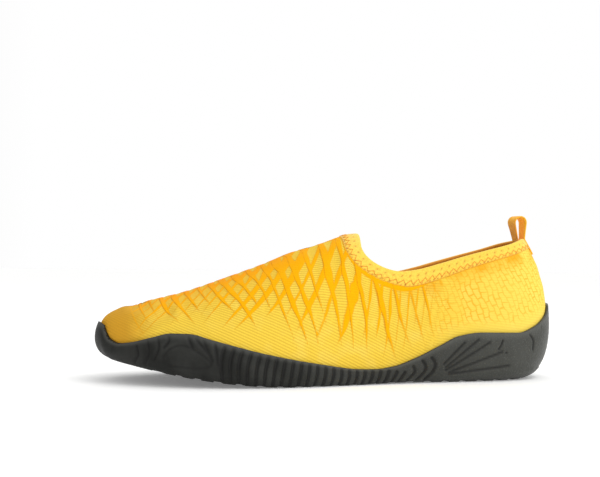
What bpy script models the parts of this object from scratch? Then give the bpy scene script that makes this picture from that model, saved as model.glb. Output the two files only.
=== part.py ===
"""Water shoe, left foot: a low knit slip-on on a thin, wave-sided rubber cup sole.

Axes: +X points to the toe, +Y to the outer (lateral) side, +Z up.
The origin lies on the floor, in the middle of the flat under the heel.
"""
import math

import bmesh
import bpy
import numpy as np

# Driving sizes, in metres.
LENGTH = 0.2755               # sole, from the back of the heel to the toe
BALL_WIDTH = 0.0985           # sole, across the ball of the foot
HEEL_BEHIND = 0.0400          # back of the sole behind the middle of the heel flat
THROAT_HEIGHT = 0.0862        # top of the instep at the front of the collar
DOME_HEIGHT = 0.1040          # where the heel walls would meet if the collar were closed
COLLAR_BACK = 0.0850          # collar edge above the floor at the heel
THROAT_PLACE = 0.0840         # front of the collar, ahead of the heel flat
SIDE_HEIGHT = 0.0300          # sole side at its hump beside the toes
SPRING = 0.0131               # rise of the tread at the toe
SPRING_END = 0.0075           # where that rise is reached, short of the toe
ARCH = 0.0042                 # extra rise of the tread under the inner arch
WAIST_RISE = 0.0005           # rise of the whole waist above the two flats
HEEL_FLAT_FRONT = 0.0330      # front end of the flat under the heel
BALL_FLAT_BACK = 0.0940       # back end of the flat under the ball
BALL_FLAT_FRONT = 0.1300      # front end of the flat under the ball, where the spring starts
WALL = 0.0018                 # knit upper
BINDING_PROUD = 0.00045       # how far the collar binding stands out of the knit, on each face
BINDING_FRONT = 0.0100        # width of the binding at the throat
BINDING_HEEL = 0.0067         # width of the binding at the heel
EDGE = 0.0014                 # rubber at the top edge of the sole
BED_HEEL = 0.0085             # rubber between foot and floor at the heel
BED_FORE = 0.0055             # rubber between foot and floor under the waist and the ball
BED_TOE = 0.0045              # rubber between foot and floor at the toe
INSOLE = 0.0030               # loose footbed
RIB_PITCH = 0.0048            # ribs along the sole side
RIB_DEPTH = 0.0008
RIB_SLANT = 0.0058            # how far a rib leans to the toe on its way down
LEDGE = 0.0007                # step low on the heel side
TREAD = 0.0014                # depth of the grooves between the lugs
LUG_PITCH = 0.0110            # lugs under the heel
LUG_LENGTH = 0.0070
RIBBON_WIDTH = 0.0080         # pull loop
RIBBON_THICKNESS = 0.0009
RIBBON_ROOM = 0.0005          # between the ribbon and the collar binding
LOOP_RISE = 0.0142            # top of the pull loop above the collar edge
LOOP_WIDTH = 0.0074           # widest gap between the two runs of the loop
LOOP_START = 0.0015           # where the ribbon is let go, below the collar edge
LOOP_SQUARE = 0.25            # share of each leg that isn't turned yet
LOOP_TWIST = math.radians(-12.0)  # turn of the ribbon at the top, its outer edge to the heel
LOOP_LEAN = math.radians(4.0)  # lean of the loop towards the toe
TAB_OUTSIDE = 0.0120          # how far the ribbon runs down outside the heel
TAB_INSIDE = 0.0090           # how far the ribbon runs down inside the heel
TAB_CURVE = 0.0240            # radius round which the ribbon bends across the heel
GAP = 0.0003                  # between pieces that touch
HIDDEN_ROOM = 0.0004          # more room for glue between upper and sole, towards the bed

# Plan of the sole: place as a share of LENGTH, both edges as shares of BALL_WIDTH.
PLAN_COLUMNS = ("row", "place", "lateral", "medial")
PLAN = (
    ("toe_tip", 1.000, -0.092, -0.092),
    ("toe_round", 0.955, 0.166, -0.345),
    ("toe_side", 0.875, 0.352, -0.460),
    ("toes", 0.757, 0.470, -0.505),
    ("ball", 0.685, 0.489, -0.472),
    ("instep", 0.555, 0.451, -0.349),
    ("waist", 0.430, 0.386, -0.282),
    ("shank", 0.320, 0.353, -0.284),
    ("heel_front", 0.225, 0.351, -0.324),
    ("heel", 0.125, 0.331, -0.328),
    ("heel_round", 0.040, 0.230, -0.230),
    ("heel_back", 0.000, 0.000, 0.000),
)

# Ridge over the foot: place as a share of LENGTH, height as a share of THROAT_HEIGHT
# ahead of the throat, side shift as a share of BALL_WIDTH.
RIDGE_COLUMNS = ("row", "place", "height", "shift")
RIDGE = (
    ("toe", 0.920, 0.499, -0.120),
    ("toes_front", 0.855, 0.545, -0.110),
    ("toes_back", 0.790, 0.607, -0.095),
    ("ball", 0.721, 0.687, -0.075),
    ("instep_low", 0.652, 0.770, -0.055),
    ("instep", 0.583, 0.860, -0.042),
    ("instep_high", 0.522, 0.920, -0.036),
    ("throat_front", 0.464, 0.984, -0.032),
    ("throat", 0.435, 0.997, -0.030),
)
DOME = (("behind_throat", 0.340, 0.45), ("over_heel", 0.175, 1.0))

# Sections of the upper: way is the share of the way round from toe tip to heel back.
# inset is the feather edge inside the sole's outline, flare how far the wall leans out,
# both as shares of BALL_WIDTH; rise and crown are shares of the section itself.
SECTION_COLUMNS = ("row", "way", "inset", "rise", "flare", "crown_lateral", "crown_medial")
SECTIONS = (
    ("toe_tip", 0.00, 0.086, 0.77, 0.146, 0.74, 0.74),
    ("toe_round", 0.12, 0.062, 0.60, 0.086, 0.64, 0.64),
    ("toes", 0.25, 0.047, 0.49, 0.048, 0.58, 0.60),
    ("ball", 0.345, 0.043, 0.47, 0.041, 0.55, 0.58),
    ("instep", 0.46, 0.041, 0.46, 0.043, 0.62, 0.66),
    ("throat", 0.56, 0.041, 0.46, 0.050, 0.68, 0.70),
    ("waist", 0.70, 0.041, 0.46, 0.070, 0.62, 0.64),
    ("heel", 0.85, 0.056, 0.46, 0.120, 0.62, 0.62),
    ("heel_round", 0.93, 0.080, 0.45, 0.195, 0.62, 0.62),
    ("heel_back", 1.00, 0.112, 0.44, 0.274, 0.62, 0.62),
)

# Top edge of the sole side, as shares of SIDE_HEIGHT.
SIDE_COLUMNS = ("way", "lateral", "medial")
SIDE = (
    (0.000, 1.100, 1.100),
    (0.030, 1.060, 1.060),
    (0.055, 0.815, 0.815),
    (0.078, 0.755, 0.755),
    (0.110, 0.790, 0.800),
    (0.150, 0.875, 0.890),
    (0.185, 0.945, 0.950),
    (0.215, 0.942, 0.955),
    (0.260, 0.835, 0.870),
    (0.345, 0.622, 0.680),
    (0.463, 0.400, 0.475),
    (0.530, 0.302, 0.400),
    (0.565, 0.290, 0.383),
    (0.600, 0.333, 0.390),
    (0.640, 0.473, 0.420),
    (0.690, 0.717, 0.500),
    (0.725, 0.890, 0.600),
    (0.770, 0.957, 0.690),
    (0.850, 0.947, 0.750),
    (0.890, 1.060, 0.900),
    (0.930, 1.260, 1.190),
    (0.965, 1.470, 1.450),
    (1.000, 1.500, 1.500),
)

# Round lower corner of the sole: how far the flat tread stays inside the outline,
# as a share of BALL_WIDTH.
CORNER_COLUMNS = ("way", "inset")
CORNER = (
    (0.00, 0.117), (0.12, 0.080), (0.25, 0.052), (0.35, 0.046), (0.55, 0.041),
    (0.70, 0.052), (0.85, 0.095), (0.93, 0.158), (1.00, 0.225),
)

# Collar line from the side: place as a share of LENGTH, height as a share of COLLAR_BACK.
COLLAR_COLUMNS = ("place", "height")
COLLAR = (
    (0.000, 1.060), (0.055, 1.005), (0.080, 0.988), (0.120, 0.950), (0.182, 0.902),
    (0.237, 0.856), (0.284, 0.812), (0.342, 0.765), (0.386, 0.749), (0.430, 0.745),
)
COLLAR_MEDIAL_DROP = 0.0030   # how much lower the collar dips on the inner side
COLLAR_FILLET = 0.0160        # rounding where the throat meets the low side of the collar
THROAT_BOW = 0.0115           # radius of the throat's edge seen from the side
THROAT_BOW_HEIGHT = 0.0775    # where that bow reaches furthest forward

TOE_POLE = 0.895              # shares of LENGTH between which the sections' tops lie
HEEL_POLE = 0.175
POLE_SOFTNESS = 0.040
SECTION_LEAN = 0.029          # share of LENGTH by which a section's top lies behind its foot
SOLE_BELLY = 0.011            # share of BALL_WIDTH by which the sole side swells past the plan


def column(table, columns, name):
    """One named column of a table, as an array."""
    place = columns.index(name)
    return np.array([row[place] for row in table], dtype=float)


def smooth_curve(xs, ys):
    """A smooth curve through rows that does not overshoot them."""
    order = np.argsort(xs)
    xs = np.asarray(xs, dtype=float)[order]
    ys = np.asarray(ys, dtype=float)[order]
    steps = np.diff(xs)
    slopes = np.diff(ys) / steps
    tangents = np.zeros_like(ys)
    same = slopes[:-1] * slopes[1:] > 0
    weight_a = 2 * steps[1:] + steps[:-1]
    weight_b = steps[1:] + 2 * steps[:-1]
    safe_a = np.where(same, slopes[:-1], 1.0)
    safe_b = np.where(same, slopes[1:], 1.0)
    mean = (weight_a + weight_b) / (weight_a / safe_a + weight_b / safe_b)
    tangents[1:-1] = np.where(same, mean, 0.0)
    tangents[0] = slopes[0]
    tangents[-1] = slopes[-1]

    def curve(x):
        x = np.clip(np.asarray(x, dtype=float), xs[0], xs[-1])
        i = np.clip(np.searchsorted(xs, x, side="right") - 1, 0, len(xs) - 2)
        h = steps[i]
        f = (x - xs[i]) / h
        hold = (1 + 2 * f) * (1 - f) ** 2 * ys[i] + f * f * (3 - 2 * f) * ys[i + 1]
        turn = f * (1 - f) ** 2 * h * tangents[i] - f * f * (1 - f) * h * tangents[i + 1]
        return hold + turn

    return curve


def ring_spline(knots, values):
    """A closed cubic spline with period 1."""
    knots = np.asarray(knots, dtype=float)
    values = np.asarray(values, dtype=float)
    count = len(knots)
    steps = np.diff(np.append(knots, knots[0] + 1.0))
    matrix = np.zeros((count, count))
    right = np.zeros(count)
    for i in range(count):
        before = steps[i - 1]
        after = steps[i]
        nxt = (i + 1) % count
        matrix[i, i - 1] += before
        matrix[i, i] += 2 * (before + after)
        matrix[i, nxt] += after
        right[i] = 6 * ((values[nxt] - values[i]) / after - (values[i] - values[i - 1]) / before)
    bends = np.linalg.solve(matrix, right)

    def curve(s):
        s = np.asarray(s, dtype=float) % 1.0
        i = np.clip(np.searchsorted(knots, s, side="right") - 1, 0, count - 1)
        nxt = (i + 1) % count
        h = steps[i]
        b = (s - knots[i]) / h
        a = 1 - b
        cubic = (a ** 3 - a) * bends[i] + (b ** 3 - b) * bends[nxt]
        return a * values[i] + b * values[nxt] + cubic * h * h / 6

    return curve


def smooth_step(x):
    x = np.clip(x, 0.0, 1.0)
    return x * x * (3 - 2 * x)


def smooth_min(a, b, width):
    blend = np.maximum(width - np.abs(a - b), 0.0) / width
    return np.minimum(a, b) - blend * blend * width / 4


# The plan outline, run round as one ring: s = 0 at the toe tip, then the lateral side,
# s = 0.5 at the back of the heel, then the medial side back to the toe.
PLAN_X = column(PLAN, PLAN_COLUMNS, "place") * LENGTH - HEEL_BEHIND
PLAN_LATERAL = column(PLAN, PLAN_COLUMNS, "lateral") * BALL_WIDTH
PLAN_MEDIAL = column(PLAN, PLAN_COLUMNS, "medial") * BALL_WIDTH
CHORDS = (np.hypot(np.diff(PLAN_X), np.diff(PLAN_LATERAL))
          + np.hypot(np.diff(PLAN_X), np.diff(PLAN_MEDIAL))) / 2
HALF_ROUND = CHORDS.sum()
PLAN_WAY = np.concatenate(([0.0], np.cumsum(CHORDS))) / HALF_ROUND
RING_KNOTS = np.concatenate((PLAN_WAY / 2, 1 - PLAN_WAY[-2:0:-1] / 2))
plan_x = ring_spline(RING_KNOTS, np.concatenate((PLAN_X, PLAN_X[-2:0:-1])))
plan_y = ring_spline(RING_KNOTS, np.concatenate((PLAN_LATERAL, PLAN_MEDIAL[-2:0:-1])))


def at_place(share):
    return share * LENGTH - HEEL_BEHIND


RIDGE_X = at_place(column(RIDGE, RIDGE_COLUMNS, "place"))
RIDGE_Z = column(RIDGE, RIDGE_COLUMNS, "height") * THROAT_HEIGHT
DOME_X = np.array([at_place(row[1]) for row in DOME])
DOME_Z = np.array([THROAT_HEIGHT + row[2] * (DOME_HEIGHT - THROAT_HEIGHT) for row in DOME])
ridge_height = smooth_curve(np.append(RIDGE_X, DOME_X), np.append(RIDGE_Z, DOME_Z))
ridge_shift = smooth_curve(np.append(RIDGE_X, DOME_X[-1]),
                           np.append(column(RIDGE, RIDGE_COLUMNS, "shift") * BALL_WIDTH, 0.0))
SECTION_WAY = column(SECTIONS, SECTION_COLUMNS, "way")
feather_inset = smooth_curve(SECTION_WAY, column(SECTIONS, SECTION_COLUMNS, "inset") * BALL_WIDTH)
section_rise = smooth_curve(SECTION_WAY, column(SECTIONS, SECTION_COLUMNS, "rise"))
section_flare = smooth_curve(SECTION_WAY, column(SECTIONS, SECTION_COLUMNS, "flare") * BALL_WIDTH)
crown_lateral = smooth_curve(SECTION_WAY, column(SECTIONS, SECTION_COLUMNS, "crown_lateral"))
crown_medial = smooth_curve(SECTION_WAY, column(SECTIONS, SECTION_COLUMNS, "crown_medial"))
SIDE_WAY = column(SIDE, SIDE_COLUMNS, "way")
side_lateral = smooth_curve(SIDE_WAY, column(SIDE, SIDE_COLUMNS, "lateral") * SIDE_HEIGHT)
side_medial = smooth_curve(SIDE_WAY, column(SIDE, SIDE_COLUMNS, "medial") * SIDE_HEIGHT)
corner_inset = smooth_curve(column(CORNER, CORNER_COLUMNS, "way"),
                            column(CORNER, CORNER_COLUMNS, "inset") * BALL_WIDTH)
collar_line = smooth_curve(at_place(column(COLLAR, COLLAR_COLUMNS, "place")),
                           column(COLLAR, COLLAR_COLUMNS, "height") * COLLAR_BACK)


def way_of(s):
    """Share of the way from the toe tip (0) to the back of the heel (1), on either side."""
    return 1 - np.abs(1 - 2 * (np.asarray(s, dtype=float) % 1.0))


def is_lateral(s):
    return (np.asarray(s, dtype=float) % 1.0) <= 0.5


def outline(s):
    """Point of the plan outline and its outward direction."""
    step = 1e-4
    point = np.stack((plan_x(s), plan_y(s)), axis=-1)
    along_x = plan_x(s + step) - plan_x(s - step)
    along_y = plan_y(s + step) - plan_y(s - step)
    size = np.hypot(along_x, along_y)
    return point, np.stack((along_y / size, -along_x / size), axis=-1)


def waist_window(x):
    middle = np.clip((x - HEEL_FLAT_FRONT) / (BALL_FLAT_BACK - HEEL_FLAT_FRONT), 0.0, 1.0)
    return np.sin(math.pi * middle) ** 2


def arch_share(y):
    """0 under the outer side of the foot, 1 under the inner side."""
    return smooth_step((0.12 * BALL_WIDTH - y) / (0.37 * BALL_WIDTH))


def toe_spring(x):
    reach = LENGTH - HEEL_BEHIND - SPRING_END - BALL_FLAT_FRONT
    return SPRING * np.clip((x - BALL_FLAT_FRONT) / reach, 0.0, None) ** 1.8


def tread_height(x, y):
    """Underside of the lugs."""
    return toe_spring(x) + waist_window(x) * (WAIST_RISE + ARCH * arch_share(y))


bed_thickness = smooth_curve(at_place(np.array([0.0, 0.20, 0.42, 0.75, 1.0])),
                             [BED_HEEL, BED_HEEL, BED_FORE, BED_FORE, BED_TOE])


def bed_height(x, y):
    """Top of the rubber under the foot."""
    arch = 0.7 * ARCH * arch_share(y)
    return toe_spring(x) + bed_thickness(x) + waist_window(x) * (WAIST_RISE + arch)


def section_top(s):
    """Place along X where a section meets the ridge."""
    soft = POLE_SOFTNESS * LENGTH
    x = plan_x(s) - SECTION_LEAN * LENGTH
    x = at_place(TOE_POLE) - soft * np.logaddexp(0.0, (at_place(TOE_POLE) - x) / soft)
    return at_place(HEEL_POLE) + soft * np.logaddexp(0.0, (x - at_place(HEEL_POLE)) / soft)


def ridge_slope(x):
    step = 1e-4
    return (ridge_height(x + step) - ridge_height(x - step)) / (2 * step)


def upper_face(s, t):
    """Outer face of the upper: s runs round the foot, t from the feather edge to the ridge."""
    s, t = np.broadcast_arrays(np.asarray(s, dtype=float), np.asarray(t, dtype=float))
    way = way_of(s)
    edge, out = outline(s)
    foot = edge - out * feather_inset(way)[..., None]
    foot_z = bed_height(foot[..., 0], foot[..., 1]) + GAP
    top_x = section_top(s)
    top = np.stack((top_x, ridge_shift(top_x)), axis=-1)
    top_z = ridge_height(top_x)
    low = foot + out * section_flare(way)[..., None]
    low_z = foot_z + section_rise(way) * (top_z - foot_z)
    crown = np.where(is_lateral(s), crown_lateral(way), crown_medial(way))
    high = top + crown[..., None] * (foot - top)
    high_z = top_z + ridge_slope(top_x) * (high[..., 0] - top_x)
    r = 1 - t
    weights = (r ** 3, 3 * r * r * t, 3 * r * t * t, t ** 3)
    plan = sum(w[..., None] * p for w, p in zip(weights, (foot, low, high, top)))
    height = sum(w * z for w, z in zip(weights, (foot_z, low_z, high_z, top_z)))
    return np.concatenate((plan, height[..., None]), axis=-1)


def upper_normal(s, t):
    """Outward unit direction of the upper's outer face."""
    s, t = np.broadcast_arrays(np.asarray(s, dtype=float), np.asarray(t, dtype=float))
    step = 2e-4
    around = upper_face(s + step, t) - upper_face(s - step, t)
    upward = (upper_face(s, np.minimum(t + step, 1.0)) - upper_face(s, np.maximum(t - step, 0.0)))
    normal = np.cross(around, upward)
    slope = ridge_slope(section_top(s))
    on_ridge = np.stack((-slope, np.zeros_like(slope), np.ones_like(slope)), axis=-1)
    normal = np.where((t > 1 - 1e-9)[..., None], on_ridge, normal)
    return normal / np.linalg.norm(normal, axis=-1, keepdims=True)


def upper_offset(s, t, out):
    """The upper's face moved out (or in) along its own normal."""
    return upper_face(s, t) + upper_normal(s, t) * np.asarray(out, dtype=float)[..., None]


def binding_width(x):
    share = smooth_step((x - at_place(0.10)) / (THROAT_PLACE - at_place(0.10)))
    return BINDING_HEEL + (BINDING_FRONT - BINDING_HEEL) * share


def collar_side(points):
    """Distance past the collar line: positive where the foot goes in."""
    x = points[..., 0]
    z = points[..., 2]
    step = 1e-4
    slope = (collar_line(x + step) - collar_line(x - step)) / (2 * step)
    inner_side = smooth_step(0.5 - points[..., 1] / (0.30 * BALL_WIDTH))
    dip = np.sin(math.pi * np.clip((x + HEEL_BEHIND) / (THROAT_PLACE + HEEL_BEHIND), 0.0, 1.0))
    above = (z - collar_line(x) + COLLAR_MEDIAL_DROP * inner_side * dip) / np.sqrt(1 + slope ** 2)
    behind = THROAT_PLACE - (z - THROAT_BOW_HEIGHT) ** 2 / (2 * THROAT_BOW) - x
    return smooth_min(above, behind, COLLAR_FILLET)


def collar_contour(lateral, below, clearance):
    """Line on the upper that runs a share of the binding's width below the collar edge.

    It starts on the ridge and ends at the back of the heel, as rows of (s, t).
    """
    sign = 1 if lateral else -1
    ways = np.linspace(0.30, 1.0, 701)
    heights = np.linspace(0.15, 1.0, 341)
    ring = (sign * ways / 2)[:, None]
    points = upper_face(ring, heights[None, :])
    level = collar_side(points) + below * binding_width(points[..., 0]) + clearance
    start = np.interp(0.0, level[:, -1], ways)
    rows = [(sign * start / 2, 1.0)]
    for i, way in enumerate(ways):
        if way <= start:
            continue
        inside = level[i] > 0
        if not inside.any():
            continue
        j = max(int(np.argmax(inside)), 1)
        share = -level[i, j - 1] / (level[i, j] - level[i, j - 1])
        t = heights[j - 1] + share * (heights[j] - heights[j - 1])
        rows.append((sign * way / 2, t))
    return np.array(rows)


def spread(rows, count):
    """The same line with points evenly spaced in space."""
    points = upper_face(rows[:, 0], rows[:, 1])
    lengths = np.linalg.norm(np.diff(points, axis=0), axis=1)
    done = np.concatenate(([0.0], np.cumsum(lengths)))
    wanted = np.linspace(0.0, done[-1], count)
    return np.stack((np.interp(wanted, done, rows[:, 0]), np.interp(wanted, done, rows[:, 1])), axis=-1)


def side_height(s):
    way = way_of(s)
    return np.where(is_lateral(s), side_lateral(way), side_medial(way))


def side_level(s):
    """The t at which the upper leaves the sole."""
    levels = np.linspace(0.0, 0.75, 151)
    heights = upper_face(np.asarray(s)[:, None], levels[None, :])[..., 2]
    wanted = side_height(s)
    return np.array([np.interp(w, h, levels) for w, h in zip(wanted, heights)])


def sole_side(s, v, edge_level):
    """Outer face of the sole without its ribs: v = 0 at the top edge, 1 at the tread."""
    s, v, edge_level = np.broadcast_arrays(s, v, edge_level)
    edge, out = outline(s)
    high = upper_offset(s, edge_level, np.full(s.shape, GAP + EDGE))
    ground = edge - out * corner_inset(way_of(s))[..., None]
    ground_z = tread_height(ground[..., 0], ground[..., 1])
    tall = high[..., 2] - ground_z
    knee = edge + out * SOLE_BELLY * BALL_WIDTH
    knee_high_z = high[..., 2] - 0.36 * tall
    knee_low_z = ground_z + 0.10 * tall
    r = 1 - v
    weights = (r ** 3, 3 * r * r * v, 3 * r * v * v, v ** 3)
    plan_points = (high[..., :2], knee, knee, ground)
    plan = sum(w[..., None] * p for w, p in zip(weights, plan_points))
    levels = (high[..., 2], knee_high_z, knee_low_z, ground_z)
    height = sum(w * z for w, z in zip(weights, levels))
    return np.concatenate((plan, height[..., None]), axis=-1), out


def way_at(x):
    """Way from toe to heel where the outline passes a place along X."""
    ways = np.linspace(0.0, 1.0, 2001)
    return np.interp(-np.asarray(x), -plan_x(ways / 2), ways)


RIB_START = 0.060             # ways between which the sole's side is ribbed
RIB_END = 0.620
COLUMN_ROOM = 0.0013          # least room between two columns of the sole
BACK_COLUMN = 0.0052          # most room between two columns round the back of the heel


def sole_stations():
    """Ways of the sole's columns, with what each one is: on a rib or not, lug or groove."""
    toe = [(way, 0, 0) for way in np.linspace(0.0, RIB_START, 7)[:-1]]
    half_ribs = 4 * round((RIB_END - RIB_START) * HALF_ROUND / (2 * RIB_PITCH))
    ribbed = []
    for i, way in enumerate(np.linspace(RIB_START, RIB_END, half_ribs + 1)):
        ribbed.append((way, i % 2, (i // 2) % 2))
    heel = []
    ramp = 0.1 * LUG_PITCH
    lugs = math.floor((BALL_FLAT_BACK - HEEL_BEHIND) / 2 / LUG_PITCH) + 1
    for lug in range(lugs, -2, -1):
        middle = lug * LUG_PITCH
        for shift, groove in ((LUG_LENGTH / 2, 0), (-LUG_LENGTH / 2, 0)):
            heel.append((float(way_at(middle + shift)), 0, groove))
        if lug > -1:
            for shift in (-LUG_LENGTH / 2 - ramp, -LUG_PITCH + LUG_LENGTH / 2 + ramp):
                heel.append((float(way_at(middle + shift)), 0, 1))
    last_way = ribbed[-1][0]
    heel = [station for station in heel if station[0] > last_way + COLUMN_ROOM / HALF_ROUND]
    back_steps = math.ceil((1.0 - heel[-1][0]) * HALF_ROUND / BACK_COLUMN)
    back = [(way, 0, 0) for way in np.linspace(heel[-1][0], 1.0, back_steps + 1)[1:]]
    return toe + ribbed + heel + back


class Builder:
    """Collects grids of points into one closed mesh."""

    def __init__(self):
        self.mesh = bmesh.new()

    def grid(self, points):
        rows = [[self.mesh.verts.new(p) for p in line] for line in points]
        for line, nxt in zip(rows[:-1], rows[1:]):
            for j in range(len(line) - 1):
                self.mesh.faces.new((line[j], line[j + 1], nxt[j + 1], nxt[j]))

    def finish(self, name, colour, roughness):
        bmesh.ops.remove_doubles(self.mesh, verts=self.mesh.verts, dist=2e-6)
        bmesh.ops.recalc_face_normals(self.mesh, faces=self.mesh.faces)
        data = bpy.data.meshes.new(name)
        self.mesh.to_mesh(data)
        self.mesh.free()
        data.shade_smooth()
        data.set_sharp_from_angle(angle=math.radians(35.0))
        body = bpy.data.objects.new(name, data)
        bpy.context.scene.collection.objects.link(body)
        data.materials.append(plain_material(name, colour, roughness))
        return body


def plain_material(name, colour, roughness):
    material = bpy.data.materials.new(name)
    material.use_nodes = True
    shader = material.node_tree.nodes["Principled BSDF"]
    shader.inputs["Base Color"].default_value = (*colour, 1.0)
    shader.inputs["Roughness"].default_value = roughness
    shader.inputs["Metallic"].default_value = 0.0
    return material


def ring_of(ways):
    """Ring positions of stations given by their way, lateral side first."""
    ways = np.asarray(ways)
    return np.concatenate((ways / 2, 1 - ways[-2:0:-1] / 2))


def across(ring_points, height, extra, count):
    """Rows across the foot between the two sides of a ring, with heights from a function."""
    total = len(ring_points)
    last_station = total // 2
    rows = []
    for i in range(last_station + 1):
        one = ring_points[i]
        other = ring_points[(total - i) % total]
        share = np.linspace(0.0, 1.0, count + 1)[:, None]
        plan = one[None, :2] * (1 - share) + other[None, :2] * share
        z = height(plan[:, 0], plan[:, 1]) + extra[i]
        rows.append(np.concatenate((plan, z[:, None]), axis=1))
    return rows


def rib_mask(way, v):
    """Where the ribs of the sole side are cut: 0 at the plain edges."""
    fade = smooth_step((way - RIB_START) / 0.02) * smooth_step((RIB_END - way) / 0.06)
    return fade * smooth_step((v - 0.08) / 0.14) * (1 - 0.35 * smooth_step((v - 0.8) / 0.2))


def make_outsole():
    """Cup sole: wave-edged side with ribs, bed inside, flats and lugs below."""
    stations = sole_stations()
    ways = np.array([row[0] for row in stations])
    valley = np.array([row[1] for row in stations], dtype=float)
    groove = np.array([row[2] for row in stations], dtype=float)
    ring = ring_of(ways)
    valley = np.concatenate((valley, valley[-2:0:-1]))
    groove = np.concatenate((groove, groove[-2:0:-1]))
    level = side_level(ring)
    levels_v = np.array([0.0, 0.14, 0.42, 0.74, 0.80, 1.0])
    sign = np.where(is_lateral(ring), 1.0, -1.0)
    lean_fade = smooth_step((way_of(ring) - RIB_START) / 0.10)
    lean_fade = lean_fade * smooth_step((RIB_END - way_of(ring)) / 0.16)
    lean = sign * lean_fade * RIB_SLANT / HALF_ROUND / 2
    heel_zone = smooth_step((way_of(ring) - 0.66) / 0.03) * smooth_step((0.99 - way_of(ring)) / 0.05)
    outer = []
    for v in levels_v:
        s = ring - lean * smooth_step(v)
        # The leaned column needs the edge level at its own place.
        point, out = sole_side(s, np.full(s.shape, v), side_level(s))
        depth = -RIB_DEPTH * valley * rib_mask(way_of(ring), v)
        if v >= 0.80:
            depth = depth + LEDGE * heel_zone * (1 - smooth_step((v - 0.80) / 0.20))
        point[..., :2] += out * depth[..., None]
        point[..., 2] += TREAD * groove * smooth_step((v - 0.60) / 0.40)
        outer.append(point)
    ground = outer[-1]
    ground[:, 2] = tread_height(ground[:, 0], ground[:, 1]) + TREAD * groove
    inner = []
    for share in (1.0, 2 / 3, 1 / 3, 0.0):
        room = GAP + HIDDEN_ROOM * (1 - share)
        inner.append(upper_offset(ring, level * share, np.full(ring.shape, room)))
    bed_ring = inner[-1].copy()
    bed_ring[:, 2] = bed_height(bed_ring[:, 0], bed_ring[:, 1])
    inner[-1] = bed_ring
    rows = outer[::-1] + inner
    rows = [np.vstack((row, row[:1])) for row in rows]
    builder = Builder()
    builder.grid(rows)
    half = len(ring) // 2
    builder.grid(across(outer[-1], tread_height, TREAD * groove[:half + 1], 6))
    builder.grid(across(bed_ring, bed_height, np.zeros(half + 1), 4))
    return builder.finish("outsole", (0.045, 0.045, 0.042), 0.75)


def upper_stations(lateral, count_front, count_back):
    """Columns of the upper: where each starts at the sole and ends at ridge or binding."""
    sign = 1 if lateral else -1
    seam = collar_contour(lateral, 1.0, GAP)
    start = abs(seam[0, 0]) * 2
    front = upper_ways(start, count_front)
    ends = [(sign * way / 2, 1.0) for way in front] + [tuple(row) for row in spread(seam, count_back)]
    feet = np.concatenate((front, np.linspace(start, 1.0, count_back))) * sign / 2
    return feet, np.array(ends)


UPPER_FRONT = 28              # columns from the toe to the throat, on each side
UPPER_BACK = 28               # columns from the throat to the back of the heel
UPPER_ROWS = 5                # rows between the sole's edge and the ridge or binding


def upper_ways(start, count):
    """Ways of the upper's front columns, closer together round the toe."""
    even = np.linspace(0.0, 1.0, count + 1)[:-1]
    return start * (0.62 * even + 0.38 * even ** 2)


def make_upper():
    """Knit upper: one hollow shell, open at the collar and under the foot."""
    builder = Builder()
    for lateral in (True, False):
        feet, ends = upper_stations(lateral, UPPER_FRONT, UPPER_BACK)
        level = side_level(feet)
        outer = []
        inner = []
        for j in range(4):
            outer.append((feet, level * j / 3))
        for j in range(1, UPPER_ROWS + 1):
            share = j / UPPER_ROWS
            s = feet + (ends[:, 0] - feet) * smooth_step(share)
            outer.append((s, level + (ends[:, 1] - level) * share))
        outer_points = [upper_offset(s, t, np.zeros(s.shape)) for s, t in outer]
        inner_points = [upper_offset(s, t, np.full(s.shape, -WALL)) for s, t in outer]
        builder.grid(outer_points)
        builder.grid(inner_points)
        builder.grid([outer_points[0], inner_points[0]])
        builder.grid([outer_points[-1][UPPER_FRONT:], inner_points[-1][UPPER_FRONT:]])
    return builder.finish("upper", (0.90, 0.66, 0.09), 0.80)


BINDING_COLUMNS = 34          # columns of the binding on each side


def make_binding():
    """Folded band round the collar, a little thicker than the knit."""
    # Each row: share of the way up the band, place between outer (1) and inner (-1) face.
    profile = ((0.0, 0.72), (0.12, 1.0), (0.82, 1.0), (1.0, 0.0), (0.82, -1.0), (0.12, -1.0), (0.0, -0.72),
               (0.0, 0.72))
    half_thick = WALL / 2 + BINDING_PROUD
    builder = Builder()
    for lateral in (True, False):
        seam = spread(collar_contour(lateral, 1.0, 0.0), BINDING_COLUMNS)
        rim = spread(collar_contour(lateral, 0.0, 0.0), BINDING_COLUMNS)
        rows = []
        for up, face in profile:
            line = seam + (rim - seam) * up
            out = -WALL / 2 + face * half_thick
            rows.append(upper_offset(line[:, 0], line[:, 1], np.full(len(line), out)))
        builder.grid(rows)
    return builder.finish("collar_binding", (0.93, 0.60, 0.06), 0.75)


def make_insole():
    """Loose footbed on the rubber bed, inside the upper."""
    ways = np.linspace(0.0, 1.0, 33)
    ring = ring_of(ways)
    edge = upper_offset(ring, np.zeros(ring.shape), np.full(ring.shape, -WALL - 1.5 * GAP))
    half = len(ring) // 2
    low = across(edge, bed_height, np.full(half + 1, GAP), 3)
    high = across(edge, bed_height, np.full(half + 1, GAP + INSOLE), 3)
    builder = Builder()
    builder.grid(low)
    builder.grid(high)
    for side in (0, -1):
        builder.grid([[row[side] for row in low], [row[side] for row in high]])
    return builder.finish("insole", (0.10, 0.10, 0.10), 0.9)


def heel_line(drop, out):
    """Point on the heel's middle line, a drop below the collar edge, moved out by a distance."""
    rim = collar_contour(True, 0.0, 0.0)[-1]
    levels = np.linspace(0.2, rim[1], 160)
    points = upper_face(np.full(levels.shape, 0.5), levels)
    lengths = np.concatenate(([0.0], np.cumsum(np.linalg.norm(np.diff(points, axis=0), axis=1))))
    t = np.interp(lengths[-1] - drop, lengths, levels)
    return upper_offset(np.array([0.5]), np.array([t]), np.array([out]))[0]


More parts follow.
